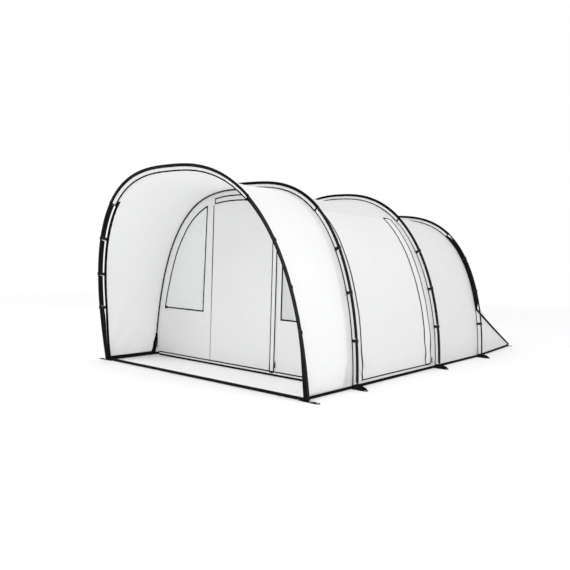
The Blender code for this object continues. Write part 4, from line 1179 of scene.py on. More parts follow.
def hem_band(name, top_z, low_z, lift, thick, pts):
    rows = []
    base = [Vector(p) for p, _ in pts]
    t = tangents(base)
    for (p, q), tan in zip(pts, t):
        level = Vector((tan.y, -tan.x, 0.0)).normalized()
        up = (q - p)
        up = up / up.z if abs(up.z) > 1e-6 else Vector((0, 0, 1))
        if abs(up.x) + abs(up.y) > 1.4:
            up = up / (abs(up.x) + abs(up.y)) * 1.4
            up.z = 1.0
        hi = p + up * (top_z - p.z)
        mid = p.copy()
        lo = Vector((p.x, p.y, low_z))
        face = []
        for c, o in ((hi, lift), (mid, lift + 0.0006), (lo, lift + 0.0008)):
            face.append(c + level * (o + thick))
        for c, o in ((lo, lift - 0.0008), (mid, lift - 0.0012), (hi, lift - 0.0010)):
            face.append(c + level * (o - thick))
        rows.append(face + [face[0]])
    nr, nc = len(rows), len(rows[0]) - 1
    verts = [v for row in rows for v in row[:-1]]
    faces = []
    for i in range(nr - 1):
        for j in range(nc):
            j2 = (j + 1) % nc
            faces.append((i * nc + j, i * nc + j2, (i + 1) * nc + j2, (i + 1) * nc + j))
    faces += [tuple(range(nc)), tuple((nr - 1) * nc + j for j in reversed(range(nc)))]
    uv = []
    run = 0.0
    for i in range(nr):
        if i:
            run += (base[i] - base[i - 1]).length
        for j in range(nc):
            uv.append((0.02 * j, run))
    return make(name, verts, faces, [TRIM], uv, angle=40, fix=True), run


hem, hem_run = hem_band("v_hem_band", 0.0265, 0.0012, 0.0, 0.0012, hem_path())
put(hem)
FLAT["v_hem_band"] = (0.0275, round(hem_run, 3), round(0.0275 * hem_run, 3))

# porch front edge: binding folded over the cloth on the legs, piping over the crown is with the sleeve
edge_parts = []
for side in ("right", "left"):
    top = u_at(1, SLEEVE_END[1] + 0.004, INSET, HEM)
    rows = []
    n = 56
    for i in range(n + 1):
        u = lerp(0.0015, top, i / n)
        u = u if side == "right" else 1 - u
        L = bay_point(1, 0.0, u)[2]
        w = 0.024 / L
        o0, n0 = fly(1, 0.0, u)
        o1, n1 = fly(1, w, u)
        f0 = (o0 - o1).normalized()
        rows.append([o1 + n1 * 0.0012, o0 + n0 * 0.0014, o0 + f0 * 0.0030 + n0 * 0.0004, o0 + f0 * 0.0030 - n0 * 0.0004,
                     o0 - n0 * 0.0016, o1 - n1 * 0.0014])
    b = grid("v_porch_binding_%s" % side, rows, [TRIM])
    put(b)
    run = sum((rows[i + 1][1] - rows[i][1]).length for i in range(n))
    declare(b, (0.056, run))
    edge_parts.append(b)

# corner gusset that closes the gap between the flysheet and the foot of the front hoop
for side in ("right", "left"):
    rows = []
    for i in range(15):
        z = lerp(0.006, 0.150, i / 14)
        u = u_at(1, z)
        us = u_at(1, max(z, HEM + 0.001), INSET, HEM)
        if side == "left":
            u, us = 1 - u, 1 - us
        a = hoop(1, 0.0, u)[0]
        b = hoop(1, INSET, us, HEM, BACK[1])[0]
        if z < HEM:
            b = Vector((b.x, b.y, z))
        d = (a - b).normalized()
        row = []
        for j in range(9):
            t = j / 8
            p = (b - d * 0.001).lerp(a - d * (POLE_R - 0.001), t)
            p += plane_axis(1) * (0.0022 * math.sin(math.pi * t) * math.sin(3.0 * i))
            row.append(p)
        rows.append(row)
    g = grid("v_foot_gusset_1_%s" % side, rows, [TRIM])
    put(g)
    mod = g.modifiers.new("thickness", "SOLIDIFY")
    mod.thickness, mod.offset = 0.0016, 0.0
    FLAT[g.name] = (0.062, 0.148, round(area_of(g), 4))


for side in ("right", "left"):
    rows = []
    for i in range(15):
        z = lerp(0.026, 0.235, i / 14)
        u = u_at(2, z, INSET, HEM)
        row = []
        for j in range(7):
            uu = u if side == "right" else 1 - u
            y1 = PANEL_Y - 0.0085
            y0 = y1 - lerp(0.062, 0.010, i / 14)
            f = f_at_y(1, lerp(y0, y1, j / 6), uu)
            row.append(fly(1, f, uu, -0.0030)[0])
        rows.append(row)
    g = grid("v_porch_corner_patch_%s" % side, rows, [TRIM])
    put(g)
    mod = g.modifiers.new("thickness", "SOLIDIFY")
    mod.thickness, mod.offset = 0.0014, 0.0
    FLAT[g.name] = (0.064, 0.212, round(area_of(g), 4))
    rows = []
    for i in range(41):
        u = u_at(2, 0.042, INSET, HEM)
        uu, u0 = (u, 0.0) if side == "right" else (1 - u, 1.0)
        f = lerp(0.030, f_at_y(1, PANEL_Y - 0.010, uu), i / 40)
        hi, lo = fly(1, f, uu, -0.0034)[0], fly(1, f, u0, -0.0034)[0]
        low_end = Vector((lo.x, lo.y, 0.0020))
        rows.append([low_end, lo.lerp(low_end, 0.5), lo, lo.lerp(hi, 0.5), hi])
    g = grid("v_porch_hem_facing_%s" % side, rows, [TRIM])
    put(g)
    mod = g.modifiers.new("thickness", "SOLIDIFY")
    mod.thickness, mod.offset = 0.0010, 0.0
    FLAT[g.name] = (0.042, 0.95, round(area_of(g), 4))


# ------------------------------------------------------------------ side door
def side_point(f, t, lift=0.0):
    """t runs up the doorway from 0 to 1."""
    return fly(2, f, lerp(UA, head_u(f), t), lift)


gap = 0.0010 / 1.54
g0, g1 = FA + gap, FB - gap
leaf = grid("v_side_leaf", [[side_point(f, lerp(0.0006, 0.9988, t))[0] for t in steps(0, 1, 96)] for f in steps(g0, g1, 38)], [LEAF])
put(leaf, "side_door", ["side_door_leaf"])
F_FLAP = f_at_y(2, SIDE_Y1 - FLAP_W, 0.2)
f_end = FB - gap * 2.5


def flap_at(f, t):
    v = (f - F_FLAP) / (f_end - F_FLAP)
    lift = 0.0016 + 0.0034 * math.sin(math.pi * clamp(v)) ** 0.8
    lift += 0.0006 * math.sin(t * 34.0) * math.sin(math.pi * clamp(v))
    return side_point(f, t, lift)


def flap_top(v):
    return lerp(0.988, 0.974, v)


flap_rows = []
for v in steps(0, 1, 12):
    flap_rows.append([flap_at(lerp(F_FLAP, f_end, v), lerp(0.004, flap_top(v), t))[0] for t in steps(0, 1, 66)])
side_flap = grid("v_side_flap", flap_rows, [LEAF])
put(side_flap, "side_door", ["side_storm_flap"])


def line_on(fn, params):
    pts, nn = [], []
    for prm in params:
        p, n = fn(*prm)
        pts.append(p)
        nn.append(n)
    return pts, nn


for nm, v in (("front", 0.0), ("rear", 1.0)):
    pts, nn = line_on(flap_at, [(lerp(F_FLAP, f_end, v), lerp(0.004, flap_top(v), t)) for t in steps(0, 1, 66)])
    c = tape("v_side_flap_edge_%s" % nm, pts, nn, 0.0165, [TRIM], thick=0.0014, lift=0.0002)
    put(c, "side_door")
for nm, tt in (("top", None), ("bottom", 0.004)):
    pts, nn = line_on(flap_at, [(lerp(F_FLAP, f_end, v), flap_top(v) if tt is None else tt) for v in steps(0, 1, 12)])
    c = tape("v_side_flap_edge_%s" % nm, pts, nn, 0.0150, [TRIM], thick=0.0014, lift=0.0004)
    put(c, "side_door")
declare(side_flap, (FLAP_W, sum((flap_rows[6][i + 1] - flap_rows[6][i]).length for i in range(66))))

pts, nn = line_on(side_point, [(g0 + 0.0046 / 1.54, t) for t in steps(0.002, 0.996, 66)])
put(tape("v_side_zip_front_leaf", pts, nn, 0.0084, [TRIM], lift=0.0006), "side_door")
pts, nn = line_on(side_point, [(f, 0.0042) for f in steps(g0, g1, 38)])
put(tape("v_side_leaf_hem", pts, nn, 0.0115, [TRIM], lift=0.0004), "side_door")
pts, nn = line_on(side_point, [(FA - 0.0042 / 1.54, t) for t in steps(0.0, 0.998, 66)])
put(tape("v_side_zip_front_fly", pts, nn, 0.0074, [TRIM], lift=0.0006))


def teeth(name, fn, params, half_w, mats):
    """Row of zip teeth along a line on a surface."""
    verts, faces = [], []
    pts, nn = line_on(fn, params)
    tan = tangents(pts)
    for p, n, t in zip(pts, nn, tan):
        ac = t.cross(n).normalized()
        k = len(verts)
        for z in (-1, 1):
            for a, h in ((-half_w, 0.0), (half_w, 0.0), (half_w * 0.7, 0.0011), (-half_w * 0.7, 0.0011)):
                verts.append(p + ac * a + n * h + t * (0.00095 * z))
        faces += [(k, k + 1, k + 2, k + 3), (k + 7, k + 6, k + 5, k + 4), (k, k + 4, k + 5, k + 1), (k + 1, k + 5, k + 6, k + 2),
                  (k + 2, k + 6, k + 7, k + 3), (k + 3, k + 7, k + 4, k)]
    return make(name, verts, faces, mats, angle=30, fix=True)


def arc_zip(off, t):
    return fly(2, FB + off / 1.54, lerp(UA, head_u(FB), t))


pts, nn = line_on(arc_zip, [(0.0060, t) for t in steps(0.0, 0.992, 66)])
put(tape("v_side_zip_tape_leaf", pts, nn, 0.0200, [LEAF], thick=0.0006, lift=0.0002), "side_door")
put(teeth("v_side_zip_teeth_leaf", arc_zip, [(0.0157, t) for t in steps(0.004, 0.990, 310)], 0.0013, [ZIP]),
                     "side_door")
pts, nn = line_on(arc_zip, [(0.0225, t) for t in steps(0.0, 0.996, 66)])
put(tape("v_side_zip_tape_fly", pts, nn, 0.0110, [LEAF], thick=0.0006, lift=0.0002))
put(teeth("v_side_zip_teeth_fly", arc_zip, [(0.0183, t + 0.0016) for t in steps(0.004, 0.990, 310)], 0.0013, [ZIP]))
declare(leaf, (g1 * 1.54 - g0 * 1.54, arc(2, INSET, HEM) * (UB - UA)))


# ------------------------------------------------------------------ panelled front
def arch(u, extra=0.0):
    """(x, z) on the inside of the porch bay at the panel's plane."""
    lo, hi = 0.0, 1.0
    for _ in range(30):
        mid = (lo + hi) / 2
        if bay_point(1, mid, u)[0].y < PANEL_Y:
            lo = mid
        else:
            hi = mid
    p, n = fly(1, lo, u)
    flat = Vector((n.x, 0.0, n.z)).normalized()
    p = p - flat * (0.0012 + extra)
    return p.x, p.z


def arch_line(extra=0.0, n=160):
    return [arch(i / n, extra) for i in range(n + 1)]


FINE = arch_line()


def arch_z(x, line=FINE):
    for (x0, z0), (x1, z1) in zip(line, line[1:]):
        if x1 <= x <= x0:
            return lerp(z0, z1, (x - x0) / ((x1 - x0) or 1.0))
    return line[len(line) // 2][1]


def head(x0, x1, drop, n=18):
    return [(x, arch_z(x) - drop) for x in steps(x0, x1, n)]


BASE_Z = SILL_TOP + 0.0015


def billow(x, z):
    """How far the panelled front lies behind its plane."""
    lines = min(abs(x - 0.446), abs(x - DOOR_L))
    w = smooth((lines - 0.018) / 0.10) * smooth((z - BASE_Z - 0.01) / 0.16) * smooth((arch_z(x) - z - 0.004) / 0.12)
    d = 0.0040 + 0.0050 * noise.noise(Vector((x * 3.4, z * 0.9, 3.7))) + 0.0022 * noise.noise(Vector((x * 9.0, z * 2.0, 8.1)))
    if -0.42 < x < 0.43:
        d += 0.0034 * math.sin(x * 21.0 + 1.2 * math.sin(z * 2.1)) * smooth((1.35 - z) / 0.9)
    win = min(abs(abs(x) - WINDOW_X), 1.0)
    return w * max(d, -0.0012) * lerp(0.35, 1.0, smooth(win / 0.08))


def on_panel(x, z, lift=0.0):
    return Vector((x, PANEL_Y + billow(x, z) - lift, z))


def window(sign, grow=0.0):
    x_in, z_low = WINDOW_X - grow, WINDOW_Z - grow
    x_low = x_in + (0.030 if sign < 0 else 0.0)
    curve = []
    for i in range(241):
        x, z = arch(i / 480, WINDOW_INSET - grow)
        if z > z_low and x > x_in:
            curve.append((x, z))
    keep = [curve[round(i * (len(curve) - 1) / 27)] for i in range(28)]
    pts = [(x_low, z_low), (curve[0][0] + 0.002, z_low)] + keep + [(x_in, curve[-1][1] + 0.006)]
    return [(x * sign, z) for x, z in pts]


top_arch = [p for p in FINE if p[1] > BASE_Z + 0.008]
foot_x = arch(0.004)[0]
panel_outline = [(foot_x, BASE_Z)] + top_arch + [(-foot_x, BASE_Z), (DOOR_L, BASE_Z)] + head(DOOR_L, DOOR_R, DOOR_DROP) + [(DOOR_R, BASE_Z)]
panel = planar("v_front_panel", panel_outline, [window(1), window(-1)], [LEAF], on_panel)
put(panel, nodes=["front_panel"])


def outline_tape(name, loop, width, body="tent", lift=0.0006, closed=True, mats=None, thick=0.0014, pitch=0.05):
    if closed:
        pts2 = finer(loop, pitch)
    else:
        pts2 = []
        for a, b in zip(loop, loop[1:]):
            k = max(1, round(math.hypot(b[0] - a[0], b[1] - a[1]) / pitch))
            pts2 += [(lerp(a[0], b[0], i / k), lerp(a[1], b[1], i / k)) for i in range(k)]
        pts2.append(loop[-1])
    pts = [on_panel(x, z) for x, z in pts2]
    ob = tape(name, pts, [Vector((0, -1, 0))] * len(pts), width, mats or [TRIM], thick, lift, closed, mitre=True)
    return put(ob, body)


for side, sg in (("right", 1), ("left", -1)):
    loop = window(sg)
    if sg < 0:
        loop = list(reversed(loop))
    outline_tape("v_window_welt_%s" % side, loop, 0.0135)
    f = planar("v_window_film_%s" % side, window(sg, 0.012), [], [FILM], lambda x, z: on_panel(x, z, -0.0026), 0.05)
    put(f, nodes=["window_film_%s" % side])
    xs = [p[0] for p in window(sg, 0.012)]
    zs = [p[1] for p in window(sg, 0.012)]
    declare(f, (max(xs) - min(xs), max(zs) - min(zs)))

arch_pts = [(x, z) for x, z in arch_line(0.0088) if z > 0.05]
pts = [Vector((x, PANEL_Y - 0.0050, z)) for x, z in arch_pts]
put(cord_line("v_panel_arch_piping", pts, [Vector((0, -1, 0))] * len(pts), 0.0066, [TRIM]))
declare(panel, (2.44, 1.70))

# sill: pale cloth with a narrow tape on top and a broad band on the ground
sill_rows = [[(x, PANEL_Y + 0.0004 * math.sin(x * 23), z) for z in steps(0.006, SILL_TOP + 0.0015, 4)] for x in steps(-1.193, 1.193, 60)]
sill = grid("v_sill", sill_rows, [LEAF])
put(sill, nodes=["front_sill"])
xs = steps(-1.193, 1.193, 60)
s1 = put(tape("v_sill_top", [Vector((x, PANEL_Y, SILL_TOP - 0.0052)) for x in xs], [Vector((0, -1, 0))] * 61, 0.0115, [TRIM], lift=0.0008))
s2 = put(tape("v_sill_band", [Vector((x, PANEL_Y, 0.0100)) for x in xs], [Vector((0, -1, 0))] * 61, 0.0185, [TRIM], thick=0.0018,
              lift=0.0008))
declare(sill, (2.386, 0.0405))

gp = 0.0015
leaf_outline = [(DOOR_L + gp, BASE_Z + 0.001)] + head(DOOR_L + gp, DOOR_R - gp, DOOR_DROP + gp) + [(DOOR_R - gp, BASE_Z + 0.001)]
leaf_outline = list(reversed(leaf_outline))
front_leaf = planar("v_front_leaf", leaf_outline, [], [LEAF], on_panel)
put(front_leaf, "front_door", ["front_door_leaf"])
hinge = [(DOOR_L + 0.0082 + 0.006 * z / 1.6, z) for z in steps(BASE_Z + 0.004, arch_z(DOOR_L) - DOOR_DROP - 0.004, 60)]
pts = [on_panel(x, z) for x, z in hinge]
thin = []
for i, p in enumerate(pts):
    t = i / (len(pts) - 1)
    w = lerp(0.0022, 0.0062, smooth(t * 1.25))
    ac = Vector((1, 0, 0))
    thin.append([p + ac * w + Vector((0, -0.0004, 0)), p + ac * w * 0.7 + Vector((0, -0.0014, 0)), p - ac * w * 0.7 + Vector((0, -0.0014, 0)),
                 p - ac * w + Vector((0, -0.0004, 0))])
hinge_line = grid("v_front_hinge_stitch", thin, [TRIM])
put(hinge_line, "front_door")

FLAP_X0, FLAP_X1 = 0.379, DOOR_R - 0.0025


def flap_front(x, z):
    v = (x - FLAP_X0) / (FLAP_X1 - FLAP_X0)
    return Vector((x, PANEL_Y + billow(x, z) - 0.0018 - 0.0042 * math.sin(math.pi * clamp(v)) ** 0.8 * smooth((z - 0.06) / 0.05), z))


z_flap = arch_z(0.41) - DOOR_DROP - 0.012
low = 0.030
round_end = [(lerp(FLAP_X0, FLAP_X1, 0.5) - (FLAP_X1 - FLAP_X0) / 2 * math.cos(math.radians(a)),
              low + 0.014 - 0.014 * math.sin(math.radians(a))) for a in range(0, 181, 15)]
flap_loop = list(reversed([(FLAP_X0, z_flap)] + round_end + [(FLAP_X1, z_flap - 0.004)]))
flap_loop = [(x, z) for x, z in reversed(flap_loop)]
front_flap = planar("v_front_flap", flap_loop, [], [LEAF], flap_front, 0.017)
put(front_flap, "front_door", ["front_storm_flap"])
fl = finer(flap_loop, 0.03)
pts = [flap_front(x, z) for x, z in fl]
fw = put(tape("v_front_flap_binding", pts, [Vector((0, -1, 0))] * len(pts), 0.0125, [TRIM], thick=0.0014, lift=0.0003, closed=True,
              mitre=True), "front_door")
declare(front_flap, (FLAP_X1 - FLAP_X0, z_flap - low))


def plain(x, z):
    return Vector((x, PANEL_Y + billow(x, z), z)), Vector((0, -1, 0))


zz = steps(BASE_Z + 0.012, arch_z(DOOR_R) - DOOR_DROP - 0.006, 60)
pts, nn = line_on(plain, [(0.4355, z) for z in zz])
put(tape("v_front_zip_tape_leaf", pts, nn, 0.0185, [LEAF], thick=0.0004, lift=0.0004), "front_door")
zt = steps(BASE_Z + 0.014, arch_z(DOOR_R) - DOOR_DROP - 0.008, 300)


def zip_plane(x, z):
    return Vector((x, PANEL_Y - 0.0004, z)), Vector((0, -1, 0))


put(teeth("v_front_zip_teeth_leaf", zip_plane, [(0.4440, z) for z in zt], 0.0012, [ZIP]), "front_door")
pts, nn = line_on(plain, [(0.4520, z) for z in zz])
put(tape("v_front_zip_tape_panel", pts, nn, 0.0120, [LEAF], thick=0.0004, lift=0.0004))
put(teeth("v_front_zip_teeth_panel", zip_plane, [(0.4466, z + 0.0024) for z in zt], 0.0012, [ZIP]))
declare(front_leaf, (DOOR_R - DOOR_L - 2 * gp, arch_z(0.0) - DOOR_DROP - BASE_Z))

# band over the door
band_loop = head(-0.385, 0.355, DOOR_DROP - 0.001) + head(0.355, -0.385, DOOR_DROP - 0.050)


def on_band(x, z, lift=0.0):
    return Vector((x, PANEL_Y + billow(x, z) - 0.0022 - lift, z))


band = planar("v_head_band", band_loop, [], [LEAF], on_band, 0.02)
put(band, nodes=["door_head_band"])
bl = finer(band_loop, 0.04)
bt = put(tape("v_head_band_binding", [on_band(x, z) for x, z in bl], [Vector((0, -1, 0))] * len(bl), 0.0120, [TRIM], thick=0.0012,
              lift=0.0003, closed=True, mitre=True))
declare(band, (0.75, 0.062))

# ------------------------------------------------------------------ strap and groundsheet
rows = []
for x in steps(-1.262, 1.262, 140):
    lift = 0.0024 * smooth((abs(x) - 1.178) / 0.020)
    yy = Y_FRONT + 0.0008 * math.sin(x * 9.0)
    z0, z1, w = 0.0012 + lift, 0.0268, 0.0026
    ring = [(-w * 0.8, z0), (-w, z0 + 0.0016), (-w, z1 - 0.0016), (-w * 0.8, z1), (w * 0.8, z1), (w, z1 - 0.0016), (w, z0 + 0.0016), (w * 0.8, z0)]
    rows.append([Vector((x, yy + a, z)) for a, z in ring])
vs = [p for r in rows for p in r]
fc = [(i * 8 + j, i * 8 + (j + 1) % 8, (i + 1) * 8 + (j + 1) % 8, (i + 1) * 8 + j) for i in range(len(rows) - 1) for j in range(8)]
fc += [tuple(range(8)), tuple((len(rows) - 1) * 8 + j for j in reversed(range(8)))]
strap = make("v_front_strap", vs, fc, [WEB], [(i % 8 * 0.004, rows[i // 8][0].x) for i in range(len(vs))], angle=50, fix=True)
put(strap, nodes=["front_strap"])
FLAT["v_front_strap"] = (0.030, 2.524, round(0.030 * 2.524, 4))

gy0, gy1 = PANEL_Y + 0.006, INNER_Y0 - 0.004
rows = []
for i in range(73):
    y = lerp(gy0, gy1, i / 72)
    row = []
    for j in range(97):
        x = lerp(1.178, -1.178, j / 96)
        e = min(1.178 - abs(x), y - gy0, gy1 - y)
        h = 0.0012 + 0.0034 * max(0.0, noise.noise(Vector((x * 2.6, y * 2.1, 5.5))) + 0.25) * smooth(e / 0.12)
        h += 0.0016 * max(0.0, noise.noise(Vector((x * 9, y * 7, 2.5)))) * smooth(e / 0.08)
        row.append(Vector((x, y, h)))
    rows.append(row)
ground = grid("v_living_groundsheet", rows, [FLOOR_CLOTH])
put(ground, nodes=["living_groundsheet"])
rim = []
corner = [(1.170, gy0 + 0.008), (1.170, gy1 - 0.008), (-1.170, gy1 - 0.008), (-1.170, gy0 + 0.008)]
rp = [Vector((x, y, 0.0012)) for x, y in finer(corner, 0.06)]
rim = put(tape("v_groundsheet_binding", rp, [Vector((0, 0, 1))] * len(rp), 0.016, [TRIM], thick=0.0009, lift=0.0004, closed=True,
               mitre=True))
declare(ground, (2.356, gy1 - gy0))


# ------------------------------------------------------------------ bedroom
def tub():
    y0, y1 = INNER_Y0 + 0.004, TUB_Y1
    wall = [TUB_H, 0.075, 0.050, 0.028, 0.012, 0.004]
    nx, ny = 64, 60
    px = [(-1, h, k) for k, h in enumerate(wall)] + [(0, t, 0) for t in steps(0.0, 1.0, nx)] + [(1, h, k) for k, h in enumerate(reversed(wall))]
    py = [(-1, h, 0) for h in wall] + [(0, t, 0) for t in steps(0.0, 1.0, ny)] + [(1, h, 0) for h in reversed(wall)]
    fillet = {0.100: 0.0, 0.075: 0.0, 0.050: 0.0005, 0.028: 0.0020, 0.012: 0.0060, 0.004: 0.0120}
    rows = []
    for sy, vy, _ in py:
        row = []
        oy = 0.018 if sy == 0 else fillet[round(vy, 3)]
        y = lerp(y0 + 0.018, y1 - 0.018, vy) if sy == 0 else (y0 + oy if sy < 0 else y1 - oy)
        lim = TUB_X if y <= Y_FRONT + 3.30 else lerp(TUB_X, TUB_XR, (y - Y_FRONT - 3.30) / (TUB_Y1 - Y_FRONT - 3.30))
        for sx, vx, _ in px:
            ox = 0.018 if sx == 0 else fillet[round(vx, 3)]
            x = lerp(lim - 0.018, -(lim - 0.018), vx) if sx == 0 else ((lim - ox) if sx < 0 else -(lim - ox))
            zx = vx if sx else 0.0
            zy = vy if sy else 0.0
            z = 0.0012 + max(zx, zy)
            if not sx and not sy:
                z += 0.0022 * max(0.0, noise.noise(Vector((x * 4, y * 3, 9.5)))) * smooth(min(vx, 1 - vx, vy, 1 - vy) / 0.06)
            row.append(Vector((x, y, min(z, TUB_H))))
        rows.append(row)
    nw = len(wall)

    def corner_cell(i, j):
        wi = i < nw - 1 or i >= len(py) - nw
        wj = j < nw - 1 or j >= len(px) - nw
        return wi and wj
    ob = grid("v_floor_tub", rows, [FLOOR_CLOTH], skip=corner_cell)
    bm = bmesh.new()
    bm.from_mesh(ob.data)
    bmesh.ops.remove_doubles(bm, verts=bm.verts, dist=0.0004)
    bm.to_mesh(ob.data)
    bm.free()
    put(ob, nodes=["bedroom_floor_tub"])
    declare(ob, (2 * TUB_X + 0.2, y1 - y0 + 0.2))
    return ob


tub()


def section(y, n, z_base):
    inset = INSET + INNER_GAP
    pts = []
    for i in range(n):
        u = i / (n - 1)
        if y <= Y_FRONT + HOOPS[4][0]:
            f = (y - (Y_FRONT + HOOPS[3][0])) / (HOOPS[4][0] - HOOPS[3][0])
            p = bay_point(3, f, u, inset, z_base)[0]
        else:
            s = (y - (Y_FRONT + HOOPS[4][0])) / (TUB_Y1 + 0.02 - (Y_FRONT + HOOPS[4][0]))
            p = rear_base(s, u, inset, z_base, TUB_Y1 + 0.02, TUB_XR + 0.004, z_base)
            p.y = y
        lim = TUB_X if y <= Y_FRONT + 3.30 else lerp(TUB_X, TUB_XR, (y - Y_FRONT - 3.30) / (TUB_Y1 - Y_FRONT - 3.30))
        p.x = max(-lim, min(lim, p.x))
        # soft folds between the suspension points
        w = smooth(min(u, 1 - u) / 0.06) * smooth((y - INNER_Y0 - 0.01) / 0.12)
        d = 0.0050 * (1 + noise.noise(Vector((p.x * 2.2, y * 2.6, p.z * 2.2)))) + 0.0030 * math.sin(y * 17 + 2 * math.sin(6 * u))
        centre = Vector((0.0, y, 0.55))
        dirn = Vector((centre.x - p.x, 0, centre.z - p.z)).normalized()
        pts.append(p + dirn * max(d, 0.0) * w)
    return pts


stations = steps(INNER_Y0 + 0.003, Y_FRONT + 3.28, 26) + steps(Y_FRONT + 3.31, TUB_Y1 - 0.004, 22)
canopy = grid("v_bedroom_canopy", [section(y, 81, TUB_H + 0.001) for y in stations], [INNER])
put(canopy, nodes=["bedroom_canopy"])
ctotal = sum((a - b).length for a, b in zip(section(stations[0], 81, TUB_H), section(stations[0], 81, TUB_H)[1:]))
declare(canopy, (ctotal, 2.30))

fs = [(p.x, p.z) for p in section(INNER_Y0 + 0.003, 121, TUB_H + 0.001)]
shrunk = [(x * 0.997, z - 0.003 * (z > 0.3)) for x, z in fs]
WB = TUB_H + 0.0015
shrunk[0], shrunk[-1] = (shrunk[0][0], WB), (shrunk[-1][0], WB)
ix0, ix1 = INNER_DOOR


def inner_z(x):
    for (x0, z0), (x1, z1) in zip(shrunk, shrunk[1:]):
        if x1 <= x <= x0 and x0 != x1:
            return lerp(z0, z1, (x - x0) / (x1 - x0))
    return shrunk[len(shrunk) // 2][1]


def on_inner(x, z, lift=0.0):
    edge = smooth((inner_z(clamp(x, -1.0, 1.0)) - z) / 0.12) * smooth((z - WB) / 0.15)
    line = smooth((min(abs(x - 0.3105), abs(x - ix0)) - 0.014) / 0.09)
    d = 0.005 + 0.006 * math.sin(x * 16 + 1.5 * math.sin(z * 1.8)) + 0.004 * noise.noise(Vector((x * 4, z * 1.2, 6.6)))
    return Vector((x, INNER_Y0 + max(d, 0.0) * edge * line - lift, z))


dh = [(x, inner_z(x) - 0.15) for x in steps(ix0, ix1, 16)]
wall = planar("v_bedroom_wall", shrunk + [(ix0, WB)] + dh + [(ix1, WB)], [], [INNER], on_inner, 0.045)
put(wall, nodes=["bedroom_front_wall"])
bleaf = [(ix0 + gp, WB + 0.001)] + [(min(max(x, ix0 + gp), ix1 - gp), z - gp) for x, z in dh] + [(ix1 - gp, WB + 0.001)]
inner_leaf = planar("v_bedroom_leaf", list(reversed(bleaf)), [], [INNER], on_inner, 0.045)
put(inner_leaf, "bedroom_door", ["bedroom_door_leaf"])


def inner_plane(x, z):
    return on_inner(x, z), Vector((0, -1, 0))


zi = steps(WB + 0.01, inner_z(0.30) - 0.16, 40)
pts, nn = line_on(inner_plane, [(0.3010, z) for z in zi])
za = put(tape("v_bedroom_zip_tape_leaf", pts, nn, 0.0180, [LEAF], thick=0.0004, lift=0.0004), "bedroom_door")
zti = steps(WB + 0.012, inner_z(0.30) - 0.162, 230)


def inner_zip(x, z):
    return Vector((x, INNER_Y0 - 0.0004, z)), Vector((0, -1, 0))


zb = put(teeth("v_bedroom_zip_teeth_leaf", inner_zip, [(0.3092, z) for z in zti], 0.0012, [ZIP]), "bedroom_door")
pts, nn = line_on(inner_plane, [(0.3165, z) for z in zi])
zc = put(tape("v_bedroom_zip_tape_wall", pts, nn, 0.0120, [LEAF], thick=0.0004, lift=0.0004))
zd = put(teeth("v_bedroom_zip_teeth_wall", inner_zip, [(0.3118, z + 0.0024) for z in zti], 0.0012, [ZIP]))
declare(wall, (2.12, 1.56))
declare(inner_leaf, (ix1 - ix0 - 2 * gp, 1.36))

mean = {}
for bay in (1, 2, 3):
    us = steps(0, 1, 200)
    mean[bay] = max(bay_point(bay, 0, u)[2] for u in us)
declare(porch, (max(arc(1, INSET, HEM), arc(2, INSET, HEM)), mean[1]))
declare(living, (max(arc(2, INSET, HEM), arc(3, INSET, HEM)), mean[2] + 0.01))
declare(bedroom_bay, (max(arc(3, INSET, HEM), arc(4, INSET, HEM)), mean[3] + 0.01))
rl = max((rear(1, u)[0] - rear(0, u)[0]).length for u in us)
declare(rear_ob, (arc(4, INSET, HEM), rl))

# ------------------------------------------------------------------ CAD pieces that are shown
for name, mat in (("front_zip_slider", STEEL), ("side_zip_slider", STEEL), ("bedroom_zip_slider", STEEL),
                  ("front_zip_puller", CLIP), ("side_zip_puller", CLIP), ("bedroom_zip_puller", CLIP)):
    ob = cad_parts[name]
    ob.data.materials.clear()
    ob.data.materials.append(mat)
    mod = ob.modifiers.new("edges", "BEVEL")
    mod.width, mod.segments, mod.limit_method, mod.angle_limit = 0.0005, 2, "ANGLE", math.radians(35)

# ------------------------------------------------------------------ stage, camera, light
def floor():
    m, nt, out = tree("stage_floor")
    tc = add(nt, "ShaderNodeTexCoord")
    ln = add(nt, "ShaderNodeVectorMath", operation="LENGTH")
    nt.links.new(tc.outputs["Object"], ln.inputs[0])
    far = add(nt, "ShaderNodeMapRange", interpolation_type="SMOOTHSTEP")
    far.inputs["From Min"].default_value = 5.0
    far.inputs["From Max"].default_value = 13.0
    nt.links.new(ln.outputs["Value"], far.inputs["Value"])
    p = add(nt, "ShaderNodeBsdfPrincipled")
    p.inputs["Base Color"].default_value = (0.90, 0.90, 0.90, 1)
    p.inputs["Roughness"].default_value = 0.9
    p.inputs["Specular IOR Level"].default_value = 0.1
    e = add(nt, "ShaderNodeEmission")
    e.inputs["Color"].default_value = (1.0, 1.0, 1.0, 1)
    e.inputs["Strength"].default_value = 1.0
    mx = add(nt, "ShaderNodeMixShader")
    nt.links.new(far.outputs["Result"], mx.inputs[0])
    nt.links.new(p.outputs[0], mx.inputs[1])
    nt.links.new(e.outputs[0], mx.inputs[2])
    nt.links.new(mx.outputs[0], out.inputs[0])
    me = bpy.data.meshes.new("stage_floor")
    s = 60.0
    me.from_pydata([(-s, -s, 0), (s, -s, 0), (s, s, 0), (-s, s, 0)], [], [(0, 1, 2, 3)])
    me.materials.append(m)
    ob = bpy.data.objects.new("stage_floor", me)
    ob.location = (0, 0, -0.0006)
    SCENE.collection.objects.link(ob)


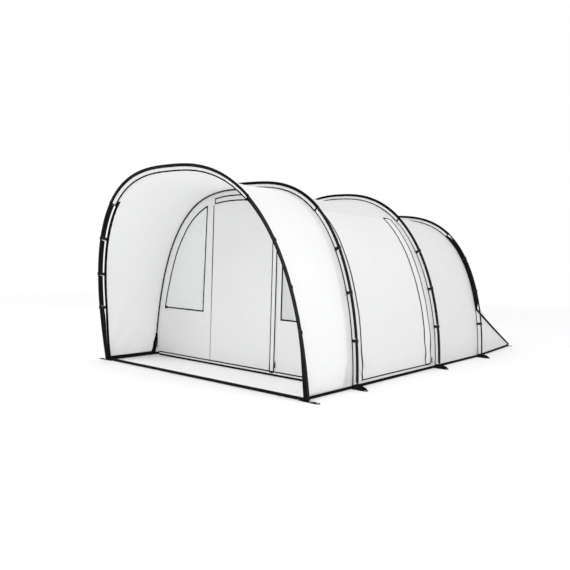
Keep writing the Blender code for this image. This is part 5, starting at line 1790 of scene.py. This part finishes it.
floor()
world = bpy.data.worlds.new("studio")
SCENE.world = world
world.use_nodes = True
bg = world.node_tree.nodes.get("Background") or world.node_tree.nodes.new("ShaderNodeBackground")
bg.inputs["Color"].default_value = (1.0, 1.0, 1.0, 1)
bg.inputs["Strength"].default_value = 1.0
wo = world.node_tree.nodes.get("World Output") or world.node_tree.nodes.new("ShaderNodeOutputWorld")
world.node_tree.links.new(bg.outputs[0], wo.inputs[0])


def soft_light(name, where, target, size, power):
    d = bpy.data.lights.new(name, "AREA")
    d.shape, d.size, d.energy = "DISK", size, power
    ob = bpy.data.objects.new(name, d)
    ob.location = where
    ob.rotation_euler = (Vector(target) - Vector(where)).to_track_quat("-Z", "Y").to_euler()
    SCENE.collection.objects.link(ob)


soft_light("key", (-4.5, -7.5, 6.5), (0.0, -0.6, 0.8), 4.0, 190)
soft_light("fill", (6.5, -1.0, 5.0), (0.4, 0.2, 0.8), 4.0, 130)
soft_light("front", (2.6, -8.5, 1.9), (0.0, -0.9, 0.9), 4.0, 90)

yaw, pitch, roll = math.radians(39.3898), math.radians(-2.6180), math.radians(1.7007)
fw = Vector((-math.sin(yaw) * math.cos(pitch), math.cos(yaw) * math.cos(pitch), math.sin(pitch)))
rt = Vector((math.cos(yaw), math.sin(yaw), 0.0))
up = rt.cross(fw)
r2 = rt * math.cos(roll) + up * math.sin(roll)
u2 = up * math.cos(roll) - rt * math.sin(roll)
cam_d = bpy.data.cameras.new("camera")
cam_d.sensor_fit, cam_d.sensor_width, cam_d.lens = "HORIZONTAL", 36.0, 641.3 * 36.0 / 570.0
cam_d.clip_start, cam_d.clip_end = 0.05, 400.0
cam = bpy.data.objects.new("camera", cam_d)
cam.matrix_world = Matrix(((r2.x, u2.x, -fw.x, 4.2167), (r2.y, u2.y, -fw.y, -6.0366), (r2.z, u2.z, -fw.z, 1.1118), (0, 0, 0, 1)))
SCENE.collection.objects.link(cam)
SCENE.camera = cam
SCENE.view_settings.view_transform = "Standard"
SCENE.view_settings.look = "None"

for name in sorted(FLAT):
    print("SHEET", name, *FLAT[name])
